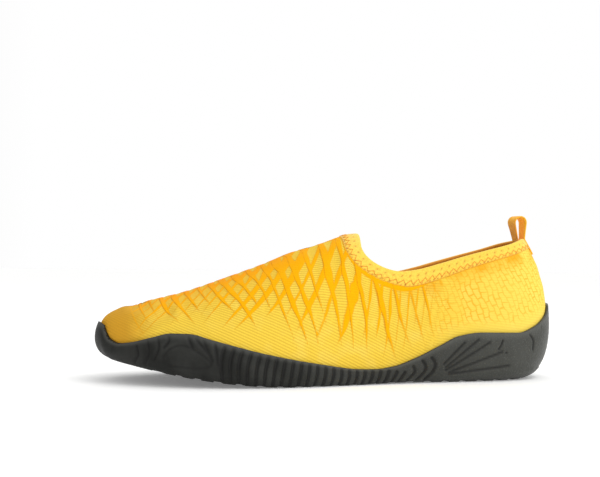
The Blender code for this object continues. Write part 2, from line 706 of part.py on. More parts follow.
def make_pull_loop():
    """Ribbon that starts inside the heel, loops up over the collar and ends outside it."""
    middle = WALL / 2 + BINDING_PROUD + RIBBON_ROOM + RIBBON_THICKNESS / 2
    rim = heel_line(0.0, -WALL / 2)
    up = np.array([math.sin(LOOP_LEAN), 0.0, math.cos(LOOP_LEAN)])
    back = np.array([-up[2], 0.0, up[0]])
    path = []
    for drop in np.linspace(TAB_INSIDE, LOOP_START, 5):
        path.append((heel_line(drop, -WALL / 2 - middle), 1.0))
    radius = LOOP_WIDTH / 2
    bow = LOOP_RISE - radius
    reach = math.hypot(middle, bow - LOOP_START)
    tangent = math.atan2(LOOP_START - bow, middle) + math.acos(radius / reach)
    turns = 12
    bend = []
    for i in range(turns + 1):
        angle = math.pi - tangent + (2 * tangent - math.pi) * i / turns
        side = radius * math.cos(angle)
        rise = bow + radius * math.sin(angle)
        bend.append((rim + back * side + up * rise, 0.0))
    outside = heel_line(LOOP_START, -WALL / 2 + middle)
    # A point low on each leg keeps the ribbon square to the heel until it has passed the collar.
    path.append((path[-1][0] * (1 - LOOP_SQUARE) + bend[0][0] * LOOP_SQUARE, 1 - LOOP_SQUARE))
    path += bend
    path.append((outside * (1 - LOOP_SQUARE) + bend[-1][0] * LOOP_SQUARE, 1 - LOOP_SQUARE))
    for drop in np.linspace(LOOP_START, TAB_OUTSIDE, 6):
        path.append((heel_line(drop, -WALL / 2 + middle), 1.0))
    centres = np.array([point for point, _ in path])
    cling = np.array([share for _, share in path])
    lift = np.clip((centres[:, 2] - rim[2]) / LOOP_RISE, 0.0, 1.0)
    tangents = np.gradient(centres, axis=0)
    tangents /= np.linalg.norm(tangents, axis=1, keepdims=True)
    thick = np.stack((-tangents[:, 2], np.zeros(len(path)), tangents[:, 0]), axis=-1)
    hug = RIBBON_WIDTH ** 2 / 8 / TAB_CURVE
    builder = Builder()
    rows = []
    corners = ((-1, 1), (0, 1), (1, 1), (1, -1), (0, -1), (-1, -1), (-1, 1))
    for wide, face in corners:
        sideways = wide * RIBBON_WIDTH / 2
        points = centres + thick * (face * RIBBON_THICKNESS / 2)
        points[:, 0] += abs(wide) * hug * cling
        turn = LOOP_TWIST * smooth_step(lift)
        points[:, 0] += sideways * np.sin(turn)
        points[:, 1] += sideways * np.cos(turn)
        rows.append(points)
    builder.grid(rows)
    for end in (0, -1):
        ring = [row[end] for row in rows[:-1]]
        builder.grid([[ring[0], ring[1], ring[2]], [ring[5], ring[4], ring[3]]])
    return builder.finish("pull_loop", (0.95, 0.45, 0.02), 0.7)


def clear_scene():
    for thing in list(bpy.data.objects):
        bpy.data.objects.remove(thing, do_unlink=True)


def main():
    clear_scene()
    make_outsole()
    make_insole()
    make_upper()
    make_binding()
    make_pull_loop()


main()
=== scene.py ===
# %% [markdown]
# # A knit water shoe on a wave-edged rubber sole
#
# The object is the left shoe of a pair of slip-on water shoes. A real one is knitted as a sock on a
# foot form, called a last, and glued into a moulded rubber cup. The construction model already holds
# the true solids. This lesson gives every one of them its visible surface: the raised web on the
# knit, the folded and stitched collar band, the ribbed rubber and the ribbon.

# %% Load the construction model
import functools
import math

import bmesh
import bpy
import numpy as np
from mathutils import Matrix


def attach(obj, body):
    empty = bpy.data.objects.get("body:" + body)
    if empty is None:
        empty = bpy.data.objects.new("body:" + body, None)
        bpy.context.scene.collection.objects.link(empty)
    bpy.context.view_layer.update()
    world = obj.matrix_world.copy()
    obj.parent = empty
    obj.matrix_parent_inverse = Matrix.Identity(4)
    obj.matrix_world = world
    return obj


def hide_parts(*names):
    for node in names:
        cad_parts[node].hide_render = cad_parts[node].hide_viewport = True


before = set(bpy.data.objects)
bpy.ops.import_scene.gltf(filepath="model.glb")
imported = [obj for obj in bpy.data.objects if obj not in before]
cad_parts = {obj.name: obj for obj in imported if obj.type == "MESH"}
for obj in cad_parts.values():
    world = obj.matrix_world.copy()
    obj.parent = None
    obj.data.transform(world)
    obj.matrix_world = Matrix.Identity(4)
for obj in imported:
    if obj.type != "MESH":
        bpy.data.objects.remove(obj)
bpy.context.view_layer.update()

# %% [markdown]
# ## The sizes
#
# A shoe is drawn from few sizes and a handful of sections. The fine surfaces could be wrapped onto
# the solids afterwards, but that would copy their facets. The same sizes and short tables shape the
# construction model, so a surface made from them lies exactly where its solid lies.

# %% Sizes of the shoe
# Driving sizes, in metres.
LENGTH = 0.2755               # sole, from the back of the heel to the toe
BALL_WIDTH = 0.0985           # sole, across the ball of the foot
HEEL_BEHIND = 0.0400          # back of the sole behind the middle of the heel flat
THROAT_HEIGHT = 0.0862        # top of the instep at the front of the collar
DOME_HEIGHT = 0.1040          # where the heel walls would meet if the collar were closed
COLLAR_BACK = 0.0850          # collar edge above the floor at the heel
THROAT_PLACE = 0.0840         # front of the collar, ahead of the heel flat
SIDE_HEIGHT = 0.0300          # sole side at its hump beside the toes
SPRING = 0.0131               # rise of the tread at the toe
SPRING_END = 0.0075           # where that rise is reached, short of the toe
ARCH = 0.0042                 # extra rise of the tread under the inner arch
WAIST_RISE = 0.0005           # rise of the whole waist above the two flats
HEEL_FLAT_FRONT = 0.0330      # front end of the flat under the heel
BALL_FLAT_BACK = 0.0940       # back end of the flat under the ball
BALL_FLAT_FRONT = 0.1300      # front end of the flat under the ball, where the spring starts
WALL = 0.0018                 # knit upper
BINDING_PROUD = 0.00045       # how far the collar binding stands out of the knit, on each face
BINDING_FRONT = 0.0100        # width of the binding at the throat
BINDING_HEEL = 0.0067         # width of the binding at the heel
EDGE = 0.0014                 # rubber at the top edge of the sole
BED_HEEL = 0.0085             # rubber between foot and floor at the heel
BED_FORE = 0.0055             # rubber between foot and floor under the waist and the ball
BED_TOE = 0.0045              # rubber between foot and floor at the toe
INSOLE = 0.0030               # loose footbed
LEDGE = 0.0007                # step low on the heel side
TREAD = 0.0014                # depth of the grooves between the lugs
LUG_PITCH = 0.0110            # lugs under the heel
LUG_LENGTH = 0.0070
RIBBON_WIDTH = 0.0080         # pull loop
RIBBON_THICKNESS = 0.0009
RIBBON_ROOM = 0.0005          # between the ribbon and the collar binding
LOOP_RISE = 0.0142            # top of the pull loop above the collar edge
LOOP_WIDTH = 0.0074           # widest gap between the two runs of the loop
LOOP_START = 0.0015           # where the ribbon is let go, below the collar edge
LOOP_SQUARE = 0.25            # share of each leg that isn't turned yet
LOOP_TWIST = math.radians(-12.0)  # turn of the ribbon at the top, its outer edge to the heel
LOOP_LEAN = math.radians(4.0)  # lean of the loop towards the toe
TAB_OUTSIDE = 0.0120          # how far the ribbon runs down outside the heel
TAB_INSIDE = 0.0090           # how far the ribbon runs down inside the heel
TAB_CURVE = 0.0240            # radius round which the ribbon bends across the heel
GAP = 0.0003                  # between pieces that touch
HIDDEN_ROOM = 0.0004          # more room for glue between upper and sole, towards the bed

print("length and ball width, mm:", 1000 * LENGTH, 1000 * BALL_WIDTH)

# %% [markdown]
# ## The tables
#
# A last maker draws a shoe as a plan, a ridge line and a few sections. The tables hold the same
# things as shares of the sizes. Free points could follow the shoe as closely, but with shares the
# whole shoe grows when one size grows.

# %% Tables of sections
# Plan of the sole: place as a share of LENGTH, both edges as shares of BALL_WIDTH.
PLAN_COLUMNS = ("row", "place", "lateral", "medial")
PLAN = (
    ("toe_tip", 1.000, -0.092, -0.092),
    ("toe_round", 0.955, 0.166, -0.345),
    ("toe_side", 0.875, 0.352, -0.460),
    ("toes", 0.757, 0.470, -0.505),
    ("ball", 0.685, 0.489, -0.472),
    ("instep", 0.555, 0.451, -0.349),
    ("waist", 0.430, 0.386, -0.282),
    ("shank", 0.320, 0.353, -0.284),
    ("heel_front", 0.225, 0.351, -0.324),
    ("heel", 0.125, 0.331, -0.328),
    ("heel_round", 0.040, 0.230, -0.230),
    ("heel_back", 0.000, 0.000, 0.000),
)

# Ridge over the foot: place as a share of LENGTH, height as a share of THROAT_HEIGHT
# ahead of the throat, side shift as a share of BALL_WIDTH.
RIDGE_COLUMNS = ("row", "place", "height", "shift")
RIDGE = (
    ("toe", 0.920, 0.499, -0.120),
    ("toes_front", 0.855, 0.545, -0.110),
    ("toes_back", 0.790, 0.607, -0.095),
    ("ball", 0.721, 0.687, -0.075),
    ("instep_low", 0.652, 0.770, -0.055),
    ("instep", 0.583, 0.860, -0.042),
    ("instep_high", 0.522, 0.920, -0.036),
    ("throat_front", 0.464, 0.984, -0.032),
    ("throat", 0.435, 0.997, -0.030),
)
DOME = (("behind_throat", 0.340, 0.45), ("over_heel", 0.175, 1.0))

# Sections of the upper: way is the share of the way round from toe tip to heel back.
# inset is the feather edge inside the sole's outline, flare how far the wall leans out,
# both as shares of BALL_WIDTH; rise and crown are shares of the section itself.
SECTION_COLUMNS = ("row", "way", "inset", "rise", "flare", "crown_lateral", "crown_medial")
SECTIONS = (
    ("toe_tip", 0.00, 0.086, 0.77, 0.146, 0.74, 0.74),
    ("toe_round", 0.12, 0.062, 0.60, 0.086, 0.64, 0.64),
    ("toes", 0.25, 0.047, 0.49, 0.048, 0.58, 0.60),
    ("ball", 0.345, 0.043, 0.47, 0.041, 0.55, 0.58),
    ("instep", 0.46, 0.041, 0.46, 0.043, 0.62, 0.66),
    ("throat", 0.56, 0.041, 0.46, 0.050, 0.68, 0.70),
    ("waist", 0.70, 0.041, 0.46, 0.070, 0.62, 0.64),
    ("heel", 0.85, 0.056, 0.46, 0.120, 0.62, 0.62),
    ("heel_round", 0.93, 0.080, 0.45, 0.195, 0.62, 0.62),
    ("heel_back", 1.00, 0.112, 0.44, 0.274, 0.62, 0.62),
)

# Top edge of the sole side, as shares of SIDE_HEIGHT.
SIDE_COLUMNS = ("way", "lateral", "medial")
SIDE = (
    (0.000, 1.100, 1.100),
    (0.030, 1.060, 1.060),
    (0.055, 0.815, 0.815),
    (0.078, 0.755, 0.755),
    (0.110, 0.790, 0.800),
    (0.150, 0.875, 0.890),
    (0.185, 0.945, 0.950),
    (0.215, 0.942, 0.955),
    (0.260, 0.835, 0.870),
    (0.345, 0.622, 0.680),
    (0.463, 0.400, 0.475),
    (0.530, 0.302, 0.400),
    (0.565, 0.290, 0.383),
    (0.600, 0.333, 0.390),
    (0.640, 0.473, 0.420),
    (0.690, 0.717, 0.500),
    (0.725, 0.890, 0.600),
    (0.770, 0.957, 0.690),
    (0.850, 0.947, 0.750),
    (0.890, 1.060, 0.900),
    (0.930, 1.260, 1.190),
    (0.965, 1.470, 1.450),
    (1.000, 1.500, 1.500),
)

# Round lower corner of the sole: how far the flat tread stays inside the outline,
# as a share of BALL_WIDTH.
CORNER_COLUMNS = ("way", "inset")
CORNER = (
    (0.00, 0.117), (0.12, 0.080), (0.25, 0.052), (0.35, 0.046), (0.55, 0.041),
    (0.70, 0.052), (0.85, 0.095), (0.93, 0.158), (1.00, 0.225),
)

# Collar line from the side: place as a share of LENGTH, height as a share of COLLAR_BACK.
COLLAR_COLUMNS = ("place", "height")
COLLAR = (
    (0.000, 1.060), (0.055, 1.005), (0.080, 0.988), (0.120, 0.950), (0.182, 0.902),
    (0.237, 0.856), (0.284, 0.812), (0.342, 0.765), (0.386, 0.749), (0.430, 0.745),
)
COLLAR_MEDIAL_DROP = 0.0030   # how much lower the collar dips on the inner side
COLLAR_FILLET = 0.0160        # rounding where the throat meets the low side of the collar
THROAT_BOW = 0.0115           # radius of the throat's edge seen from the side
THROAT_BOW_HEIGHT = 0.0775    # where that bow reaches furthest forward

TOE_POLE = 0.895              # shares of LENGTH between which the sections' tops lie
HEEL_POLE = 0.175
POLE_SOFTNESS = 0.040
SECTION_LEAN = 0.029          # share of LENGTH by which a section's top lies behind its foot
SOLE_BELLY = 0.011            # share of BALL_WIDTH by which the sole side swells past the plan

print("rows of plan, ridge and sections:", len(PLAN), len(RIDGE), len(SECTIONS))

# %% [markdown]
# ## Smooth curves from short tables
#
# A last has no corners between its sections, so a smooth curve runs through the rows of each table.
# Straight runs would show as facets, and a plain spline swings past rows that lie close together.
# The first kind here never overshoots a row, so a flat stays flat. The second kind closes on
# itself, as the outline of a sole does.

# %% Curves through tables
def column(table, columns, name):
    """One named column of a table, as an array."""
    place = columns.index(name)
    return np.array([row[place] for row in table], dtype=float)


def smooth_curve(xs, ys):
    """A smooth curve through rows that does not overshoot them."""
    order = np.argsort(xs)
    xs = np.asarray(xs, dtype=float)[order]
    ys = np.asarray(ys, dtype=float)[order]
    steps = np.diff(xs)
    slopes = np.diff(ys) / steps
    tangents = np.zeros_like(ys)
    same = slopes[:-1] * slopes[1:] > 0
    weight_a = 2 * steps[1:] + steps[:-1]
    weight_b = steps[1:] + 2 * steps[:-1]
    safe_a = np.where(same, slopes[:-1], 1.0)
    safe_b = np.where(same, slopes[1:], 1.0)
    mean = (weight_a + weight_b) / (weight_a / safe_a + weight_b / safe_b)
    tangents[1:-1] = np.where(same, mean, 0.0)
    tangents[0] = slopes[0]
    tangents[-1] = slopes[-1]

    def curve(x):
        x = np.clip(np.asarray(x, dtype=float), xs[0], xs[-1])
        i = np.clip(np.searchsorted(xs, x, side="right") - 1, 0, len(xs) - 2)
        h = steps[i]
        f = (x - xs[i]) / h
        hold = (1 + 2 * f) * (1 - f) ** 2 * ys[i] + f * f * (3 - 2 * f) * ys[i + 1]
        turn = f * (1 - f) ** 2 * h * tangents[i] - f * f * (1 - f) * h * tangents[i + 1]
        return hold + turn

    return curve


def ring_spline(knots, values):
    """A closed cubic spline with period 1."""
    knots = np.asarray(knots, dtype=float)
    values = np.asarray(values, dtype=float)
    count = len(knots)
    steps = np.diff(np.append(knots, knots[0] + 1.0))
    matrix = np.zeros((count, count))
    right = np.zeros(count)
    for i in range(count):
        before = steps[i - 1]
        after = steps[i]
        nxt = (i + 1) % count
        matrix[i, i - 1] += before
        matrix[i, i] += 2 * (before + after)
        matrix[i, nxt] += after
        right[i] = 6 * ((values[nxt] - values[i]) / after - (values[i] - values[i - 1]) / before)
    bends = np.linalg.solve(matrix, right)

    def curve(s):
        s = np.asarray(s, dtype=float) % 1.0
        i = np.clip(np.searchsorted(knots, s, side="right") - 1, 0, count - 1)
        nxt = (i + 1) % count
        h = steps[i]
        b = (s - knots[i]) / h
        a = 1 - b
        cubic = (a ** 3 - a) * bends[i] + (b ** 3 - b) * bends[nxt]
        return a * values[i] + b * values[nxt] + cubic * h * h / 6

    return curve


def smooth_step(x):
    x = np.clip(x, 0.0, 1.0)
    return x * x * (3 - 2 * x)


def smooth_min(a, b, width):
    blend = np.maximum(width - np.abs(a - b), 0.0) / width
    return np.minimum(a, b) - blend * blend * width / 4


print("smooth step at a quarter:", round(float(smooth_step(0.25)), 3))

# %% [markdown]
# ## The outline of the sole
#
# From above, the sole is one closed curve. It could be drawn as two halves, but they would meet with
# a corner at the toe and the heel. One ring that closes on itself stays round there, and any place
# on it is a share of the way round.

# %% Outline of the sole
# The plan outline, run round as one ring: s = 0 at the toe tip, then the lateral side,
# s = 0.5 at the back of the heel, then the medial side back to the toe.
PLAN_X = column(PLAN, PLAN_COLUMNS, "place") * LENGTH - HEEL_BEHIND
PLAN_LATERAL = column(PLAN, PLAN_COLUMNS, "lateral") * BALL_WIDTH
PLAN_MEDIAL = column(PLAN, PLAN_COLUMNS, "medial") * BALL_WIDTH
CHORDS = (np.hypot(np.diff(PLAN_X), np.diff(PLAN_LATERAL))
          + np.hypot(np.diff(PLAN_X), np.diff(PLAN_MEDIAL))) / 2
HALF_ROUND = CHORDS.sum()
PLAN_WAY = np.concatenate(([0.0], np.cumsum(CHORDS))) / HALF_ROUND
RING_KNOTS = np.concatenate((PLAN_WAY / 2, 1 - PLAN_WAY[-2:0:-1] / 2))
plan_x = ring_spline(RING_KNOTS, np.concatenate((PLAN_X, PLAN_X[-2:0:-1])))
plan_y = ring_spline(RING_KNOTS, np.concatenate((PLAN_LATERAL, PLAN_MEDIAL[-2:0:-1])))

print("half the way round the sole, mm:", round(1000 * HALF_ROUND, 1))

# %% Curves of the shoe
def at_place(share):
    return share * LENGTH - HEEL_BEHIND


RIDGE_X = at_place(column(RIDGE, RIDGE_COLUMNS, "place"))
RIDGE_Z = column(RIDGE, RIDGE_COLUMNS, "height") * THROAT_HEIGHT
DOME_X = np.array([at_place(row[1]) for row in DOME])
DOME_Z = np.array([THROAT_HEIGHT + row[2] * (DOME_HEIGHT - THROAT_HEIGHT) for row in DOME])
ridge_height = smooth_curve(np.append(RIDGE_X, DOME_X), np.append(RIDGE_Z, DOME_Z))
ridge_shift = smooth_curve(np.append(RIDGE_X, DOME_X[-1]),
                           np.append(column(RIDGE, RIDGE_COLUMNS, "shift") * BALL_WIDTH, 0.0))
SECTION_WAY = column(SECTIONS, SECTION_COLUMNS, "way")
feather_inset = smooth_curve(SECTION_WAY, column(SECTIONS, SECTION_COLUMNS, "inset") * BALL_WIDTH)
section_rise = smooth_curve(SECTION_WAY, column(SECTIONS, SECTION_COLUMNS, "rise"))
section_flare = smooth_curve(SECTION_WAY, column(SECTIONS, SECTION_COLUMNS, "flare") * BALL_WIDTH)
crown_lateral = smooth_curve(SECTION_WAY, column(SECTIONS, SECTION_COLUMNS, "crown_lateral"))
crown_medial = smooth_curve(SECTION_WAY, column(SECTIONS, SECTION_COLUMNS, "crown_medial"))
SIDE_WAY = column(SIDE, SIDE_COLUMNS, "way")
side_lateral = smooth_curve(SIDE_WAY, column(SIDE, SIDE_COLUMNS, "lateral") * SIDE_HEIGHT)
side_medial = smooth_curve(SIDE_WAY, column(SIDE, SIDE_COLUMNS, "medial") * SIDE_HEIGHT)
corner_inset = smooth_curve(column(CORNER, CORNER_COLUMNS, "way"),
                            column(CORNER, CORNER_COLUMNS, "inset") * BALL_WIDTH)
collar_line = smooth_curve(at_place(column(COLLAR, COLLAR_COLUMNS, "place")),
                           column(COLLAR, COLLAR_COLUMNS, "height") * COLLAR_BACK)


print("ridge over the ball, mm:", round(1000 * float(ridge_height(at_place(0.685))), 1))

# %% Places round the foot
def way_of(s):
    """Share of the way from the toe tip (0) to the back of the heel (1), on either side."""
    return 1 - np.abs(1 - 2 * (np.asarray(s, dtype=float) % 1.0))


def is_lateral(s):
    return (np.asarray(s, dtype=float) % 1.0) <= 0.5


def outline(s):
    """Point of the plan outline and its outward direction."""
    step = 1e-4
    point = np.stack((plan_x(s), plan_y(s)), axis=-1)
    along_x = plan_x(s + step) - plan_x(s - step)
    along_y = plan_y(s + step) - plan_y(s - step)
    size = np.hypot(along_x, along_y)
    return point, np.stack((along_y / size, -along_x / size), axis=-1)


print("way at a quarter of the ring:", float(way_of(0.25)))

# %% [markdown]
# ## The ground and the bed
#
# The tread is flat under the heel and the ball, springs up at the toe and lifts under the arch. The
# bed is the top of the rubber under the foot. Both could be modelled by hand, but as heights over
# the plan they serve the sole, the footbed and the upper at once.

# %% Ground and bed
def waist_window(x):
    middle = np.clip((x - HEEL_FLAT_FRONT) / (BALL_FLAT_BACK - HEEL_FLAT_FRONT), 0.0, 1.0)
    return np.sin(math.pi * middle) ** 2


def arch_share(y):
    """0 under the outer side of the foot, 1 under the inner side."""
    return smooth_step((0.12 * BALL_WIDTH - y) / (0.37 * BALL_WIDTH))


def toe_spring(x):
    reach = LENGTH - HEEL_BEHIND - SPRING_END - BALL_FLAT_FRONT
    return SPRING * np.clip((x - BALL_FLAT_FRONT) / reach, 0.0, None) ** 1.8


def tread_height(x, y):
    """Underside of the lugs."""
    return toe_spring(x) + waist_window(x) * (WAIST_RISE + ARCH * arch_share(y))


bed_thickness = smooth_curve(at_place(np.array([0.0, 0.20, 0.42, 0.75, 1.0])),
                             [BED_HEEL, BED_HEEL, BED_FORE, BED_FORE, BED_TOE])


def bed_height(x, y):
    """Top of the rubber under the foot."""
    arch = 0.7 * ARCH * arch_share(y)
    return toe_spring(x) + bed_thickness(x) + waist_window(x) * (WAIST_RISE + arch)


print("tread at the toe, mm:", round(1000 * float(toe_spring(LENGTH - HEEL_BEHIND)), 1))

# %% [markdown]
# ## The surface of the last
#
# Every section of the upper is one Bezier curve from the feather edge, inside the sole, to the ridge
# over the foot. Walking round the foot sweeps it into a surface, and the surface's own normal gives
# the thickness of the knit. Sculpting could give the same form, but no place for each stitch on it.

# %% Surface of the upper
def section_top(s):
    """Place along X where a section meets the ridge."""
    soft = POLE_SOFTNESS * LENGTH
    x = plan_x(s) - SECTION_LEAN * LENGTH
    x = at_place(TOE_POLE) - soft * np.logaddexp(0.0, (at_place(TOE_POLE) - x) / soft)
    return at_place(HEEL_POLE) + soft * np.logaddexp(0.0, (x - at_place(HEEL_POLE)) / soft)


def ridge_slope(x):
    step = 1e-4
    return (ridge_height(x + step) - ridge_height(x - step)) / (2 * step)


def upper_face(s, t):
    """Outer face of the upper: s runs round the foot, t from the feather edge to the ridge."""
    s, t = np.broadcast_arrays(np.asarray(s, dtype=float), np.asarray(t, dtype=float))
    way = way_of(s)
    edge, out = outline(s)
    foot = edge - out * feather_inset(way)[..., None]
    foot_z = bed_height(foot[..., 0], foot[..., 1]) + GAP
    top_x = section_top(s)
    top = np.stack((top_x, ridge_shift(top_x)), axis=-1)
    top_z = ridge_height(top_x)
    low = foot + out * section_flare(way)[..., None]
    low_z = foot_z + section_rise(way) * (top_z - foot_z)
    crown = np.where(is_lateral(s), crown_lateral(way), crown_medial(way))
    high = top + crown[..., None] * (foot - top)
    high_z = top_z + ridge_slope(top_x) * (high[..., 0] - top_x)
    r = 1 - t
    weights = (r ** 3, 3 * r * r * t, 3 * r * t * t, t ** 3)
    plan = sum(w[..., None] * p for w, p in zip(weights, (foot, low, high, top)))
    height = sum(w * z for w, z in zip(weights, (foot_z, low_z, high_z, top_z)))
    return np.concatenate((plan, height[..., None]), axis=-1)


def upper_normal(s, t):
    """Outward unit direction of the upper's outer face."""
    s, t = np.broadcast_arrays(np.asarray(s, dtype=float), np.asarray(t, dtype=float))
    step = 2e-4
    around = upper_face(s + step, t) - upper_face(s - step, t)
    upward = upper_face(s, np.minimum(t + step, 1.0)) - upper_face(s, np.maximum(t - step, 0.0))
    normal = np.cross(around, upward)
    slope = ridge_slope(section_top(s))
    on_ridge = np.stack((-slope, np.zeros_like(slope), np.ones_like(slope)), axis=-1)
    normal = np.where((t > 1 - 1e-9)[..., None], on_ridge, normal)
    return normal / np.linalg.norm(normal, axis=-1, keepdims=True)


def upper_offset(s, t, out):
    """The upper's face moved out (or in) along its own normal."""
    return upper_face(s, t) + upper_normal(s, t) * np.asarray(out, dtype=float)[..., None]


print("top over the heel, mm:", (1000 * upper_face(np.array([0.5]), 1.0)[0]).round(1))

# %% [markdown]
# ## The collar line
#
# The collar is the curved edge where the foot goes in. A boolean cut would leave ragged triangles
# there. Instead, the place where each section crosses the collar line is worked out, so that the
# grids of the knit and of the band end exactly on it.

# %% Collar line
def binding_width(x):
    share = smooth_step((x - at_place(0.10)) / (THROAT_PLACE - at_place(0.10)))
    return BINDING_HEEL + (BINDING_FRONT - BINDING_HEEL) * share


def collar_side(points):
    """Distance past the collar line: positive where the foot goes in."""
    x = points[..., 0]
    z = points[..., 2]
    step = 1e-4
    slope = (collar_line(x + step) - collar_line(x - step)) / (2 * step)
    inner_side = smooth_step(0.5 - points[..., 1] / (0.30 * BALL_WIDTH))
    dip = np.sin(math.pi * np.clip((x + HEEL_BEHIND) / (THROAT_PLACE + HEEL_BEHIND), 0.0, 1.0))
    above = (z - collar_line(x) + COLLAR_MEDIAL_DROP * inner_side * dip) / np.sqrt(1 + slope ** 2)
    behind = THROAT_PLACE - (z - THROAT_BOW_HEIGHT) ** 2 / (2 * THROAT_BOW) - x
    return smooth_min(above, behind, COLLAR_FILLET)


def collar_contour(lateral, below, clearance):
    """Line on the upper that runs a share of the binding's width below the collar edge.

    It starts on the ridge and ends at the back of the heel, as rows of (s, t).
    """
    sign = 1 if lateral else -1
    ways = np.linspace(0.30, 1.0, 701)
    heights = np.linspace(0.15, 1.0, 341)
    ring = (sign * ways / 2)[:, None]
    points = upper_face(ring, heights[None, :])
    level = collar_side(points) + below * binding_width(points[..., 0]) + clearance
    start = np.interp(0.0, level[:, -1], ways)
    rows = [(sign * start / 2, 1.0)]
    for i, way in enumerate(ways):
        if way <= start:
            continue
        inside = level[i] > 0
        if not inside.any():
            continue
        j = max(int(np.argmax(inside)), 1)
        share = -level[i, j - 1] / (level[i, j] - level[i, j - 1])
        t = heights[j - 1] + share * (heights[j] - heights[j - 1])
        rows.append((sign * way / 2, t))
    return np.array(rows)


def spread(rows, count):
    """The same line with points evenly spaced in space."""
    points = upper_face(rows[:, 0], rows[:, 1])
    lengths = np.linalg.norm(np.diff(points, axis=0), axis=1)
    done = np.concatenate(([0.0], np.cumsum(lengths)))
    wanted = np.linspace(0.0, done[-1], count)
    return np.stack((np.interp(wanted, done, rows[:, 0]), np.interp(wanted, done, rows[:, 1])), axis=-1)


print("band at the throat, mm:", round(1000 * float(binding_width(THROAT_PLACE)), 1))

# %% [markdown]
# ## The side of the sole
#
# The rubber climbs the upper in a wave: high at the toe, low at the waist and high round the heel.
# Each section of the side is one curve from the wave's edge over a soft belly to the tread. A plan
# outline that is only extruded would have one height all round and no belly.

# %% Side of the sole
def side_height(s):
    way = way_of(s)
    return np.where(is_lateral(s), side_lateral(way), side_medial(way))


def side_level(s):
    """The t at which the upper leaves the sole."""
    levels = np.linspace(0.0, 0.75, 151)
    heights = upper_face(np.asarray(s)[:, None], levels[None, :])[..., 2]
    wanted = side_height(s)
    return np.array([np.interp(w, h, levels) for w, h in zip(wanted, heights)])


def sole_side(s, v, edge_level):
    """Outer face of the sole without its ribs: v = 0 at the top edge, 1 at the tread."""
    s, v, edge_level = np.broadcast_arrays(s, v, edge_level)
    edge, out = outline(s)
    high = upper_offset(s, edge_level, np.full(s.shape, GAP + EDGE))
    ground = edge - out * corner_inset(way_of(s))[..., None]
    ground_z = tread_height(ground[..., 0], ground[..., 1])
    tall = high[..., 2] - ground_z
    knee = edge + out * SOLE_BELLY * BALL_WIDTH
    knee_high_z = high[..., 2] - 0.36 * tall
    knee_low_z = ground_z + 0.10 * tall
    r = 1 - v
    weights = (r ** 3, 3 * r * r * v, 3 * r * v * v, v ** 3)
    plan_points = (high[..., :2], knee, knee, ground)
    plan = sum(w[..., None] * p for w, p in zip(weights, plan_points))
    levels = (high[..., 2], knee_high_z, knee_low_z, ground_z)
    height = sum(w * z for w, z in zip(weights, levels))
    return np.concatenate((plan, height[..., None]), axis=-1), out


def way_at(x):
    """Way from toe to heel where the outline passes a place along X."""
    ways = np.linspace(0.0, 1.0, 2001)
    return np.interp(-np.asarray(x), -plan_x(ways / 2), ways)


print("way from the toe at the ball:", round(float(way_at(at_place(0.685))), 3))

# %% [markdown]
# ## The camera
#
# The shoe is seen from its outer side, with the camera a hand's width above the floor and turned a
# little towards the toe. A camera could be set by eye, but a small error in its turn changes every
# length. So its place was worked out from points that can be found on the photo and on the shoe.

# %% Camera
IMAGE_WIDTH = 600             # pixels of the frame, which is 477 high
FOCAL_PIXELS = 1081.0         # focal length in pixels of the frame
SENSOR_WIDTH = 36.0           # millimetres
CAMERA_TURN = math.radians(15.0)
CAMERA_DISTANCE = 0.640
CAMERA_HEIGHT = 0.0700
LOOK_AT_X = 0.104
AIM_RIGHT = -22.0             # where the level line of sight lies off the frame's middle, in pixels
AIM_UP = 21.0
ROLL = 0.0110                 # the toe side of the frame is lifted by this slope


def unit(vector):
    vector = np.asarray(vector, dtype=float)
    return vector / np.linalg.norm(vector)


def add_camera():
    level = np.array([-math.sin(CAMERA_TURN), -math.cos(CAMERA_TURN), 0.0])
    right = np.array([-math.cos(CAMERA_TURN), math.sin(CAMERA_TURN), 0.0])
    up = np.array([0.0, 0.0, 1.0])
    place = np.array([LOOK_AT_X, 0.0, CAMERA_HEIGHT]) - CAMERA_DISTANCE * level
    aim = unit(level + right * AIM_RIGHT / FOCAL_PIXELS + up * AIM_UP / FOCAL_PIXELS)
    tilted_up = up - right * ROLL
    side = unit(np.cross(aim, tilted_up))
    top = np.cross(side, aim)
    data = bpy.data.cameras.new("photo_camera")
    data.sensor_width = SENSOR_WIDTH
    data.lens = FOCAL_PIXELS * SENSOR_WIDTH / IMAGE_WIDTH
    data.clip_start = 0.01
    camera = bpy.data.objects.new("photo_camera", data)
    bpy.context.scene.collection.objects.link(camera)
    matrix = np.eye(4)
    matrix[:3, 0] = side
    matrix[:3, 1] = top
    matrix[:3, 2] = -aim
    matrix[:3, 3] = place
    camera.matrix_world = Matrix(matrix.tolist())
    bpy.context.scene.camera = camera
    return camera


camera = add_camera()
print("lens, mm:", round(camera.data.lens, 2))

# %% [markdown]
# ## Colours and shader nodes
#
# Colours are written as they are read on a screen, in hexadecimal. Blender mixes light in linear
# values, so one function converts them. Nodes could be added line by line, but a knit needs over a
# hundred. A second small function adds a node with its settings and links, which keeps every
# material short.

# %% Colour and node helpers
TIMES = dict(operation="MULTIPLY")
TIMES_PLUS = dict(operation="MULTIPLY_ADD")
SMOOTH = dict(interpolation_type="SMOOTHSTEP")
COLOURS = dict(data_type="RGBA", out=2)


def linear(code):
    """Linear RGBA of an sRGB hex colour."""
    values = [int(code[i:i + 2], 16) / 255 for i in (1, 3, 5)]
    return tuple(v / 12.92 if v <= 0.04045 else ((v + 0.055) / 1.055) ** 2.4 for v in values) + (1.0,)


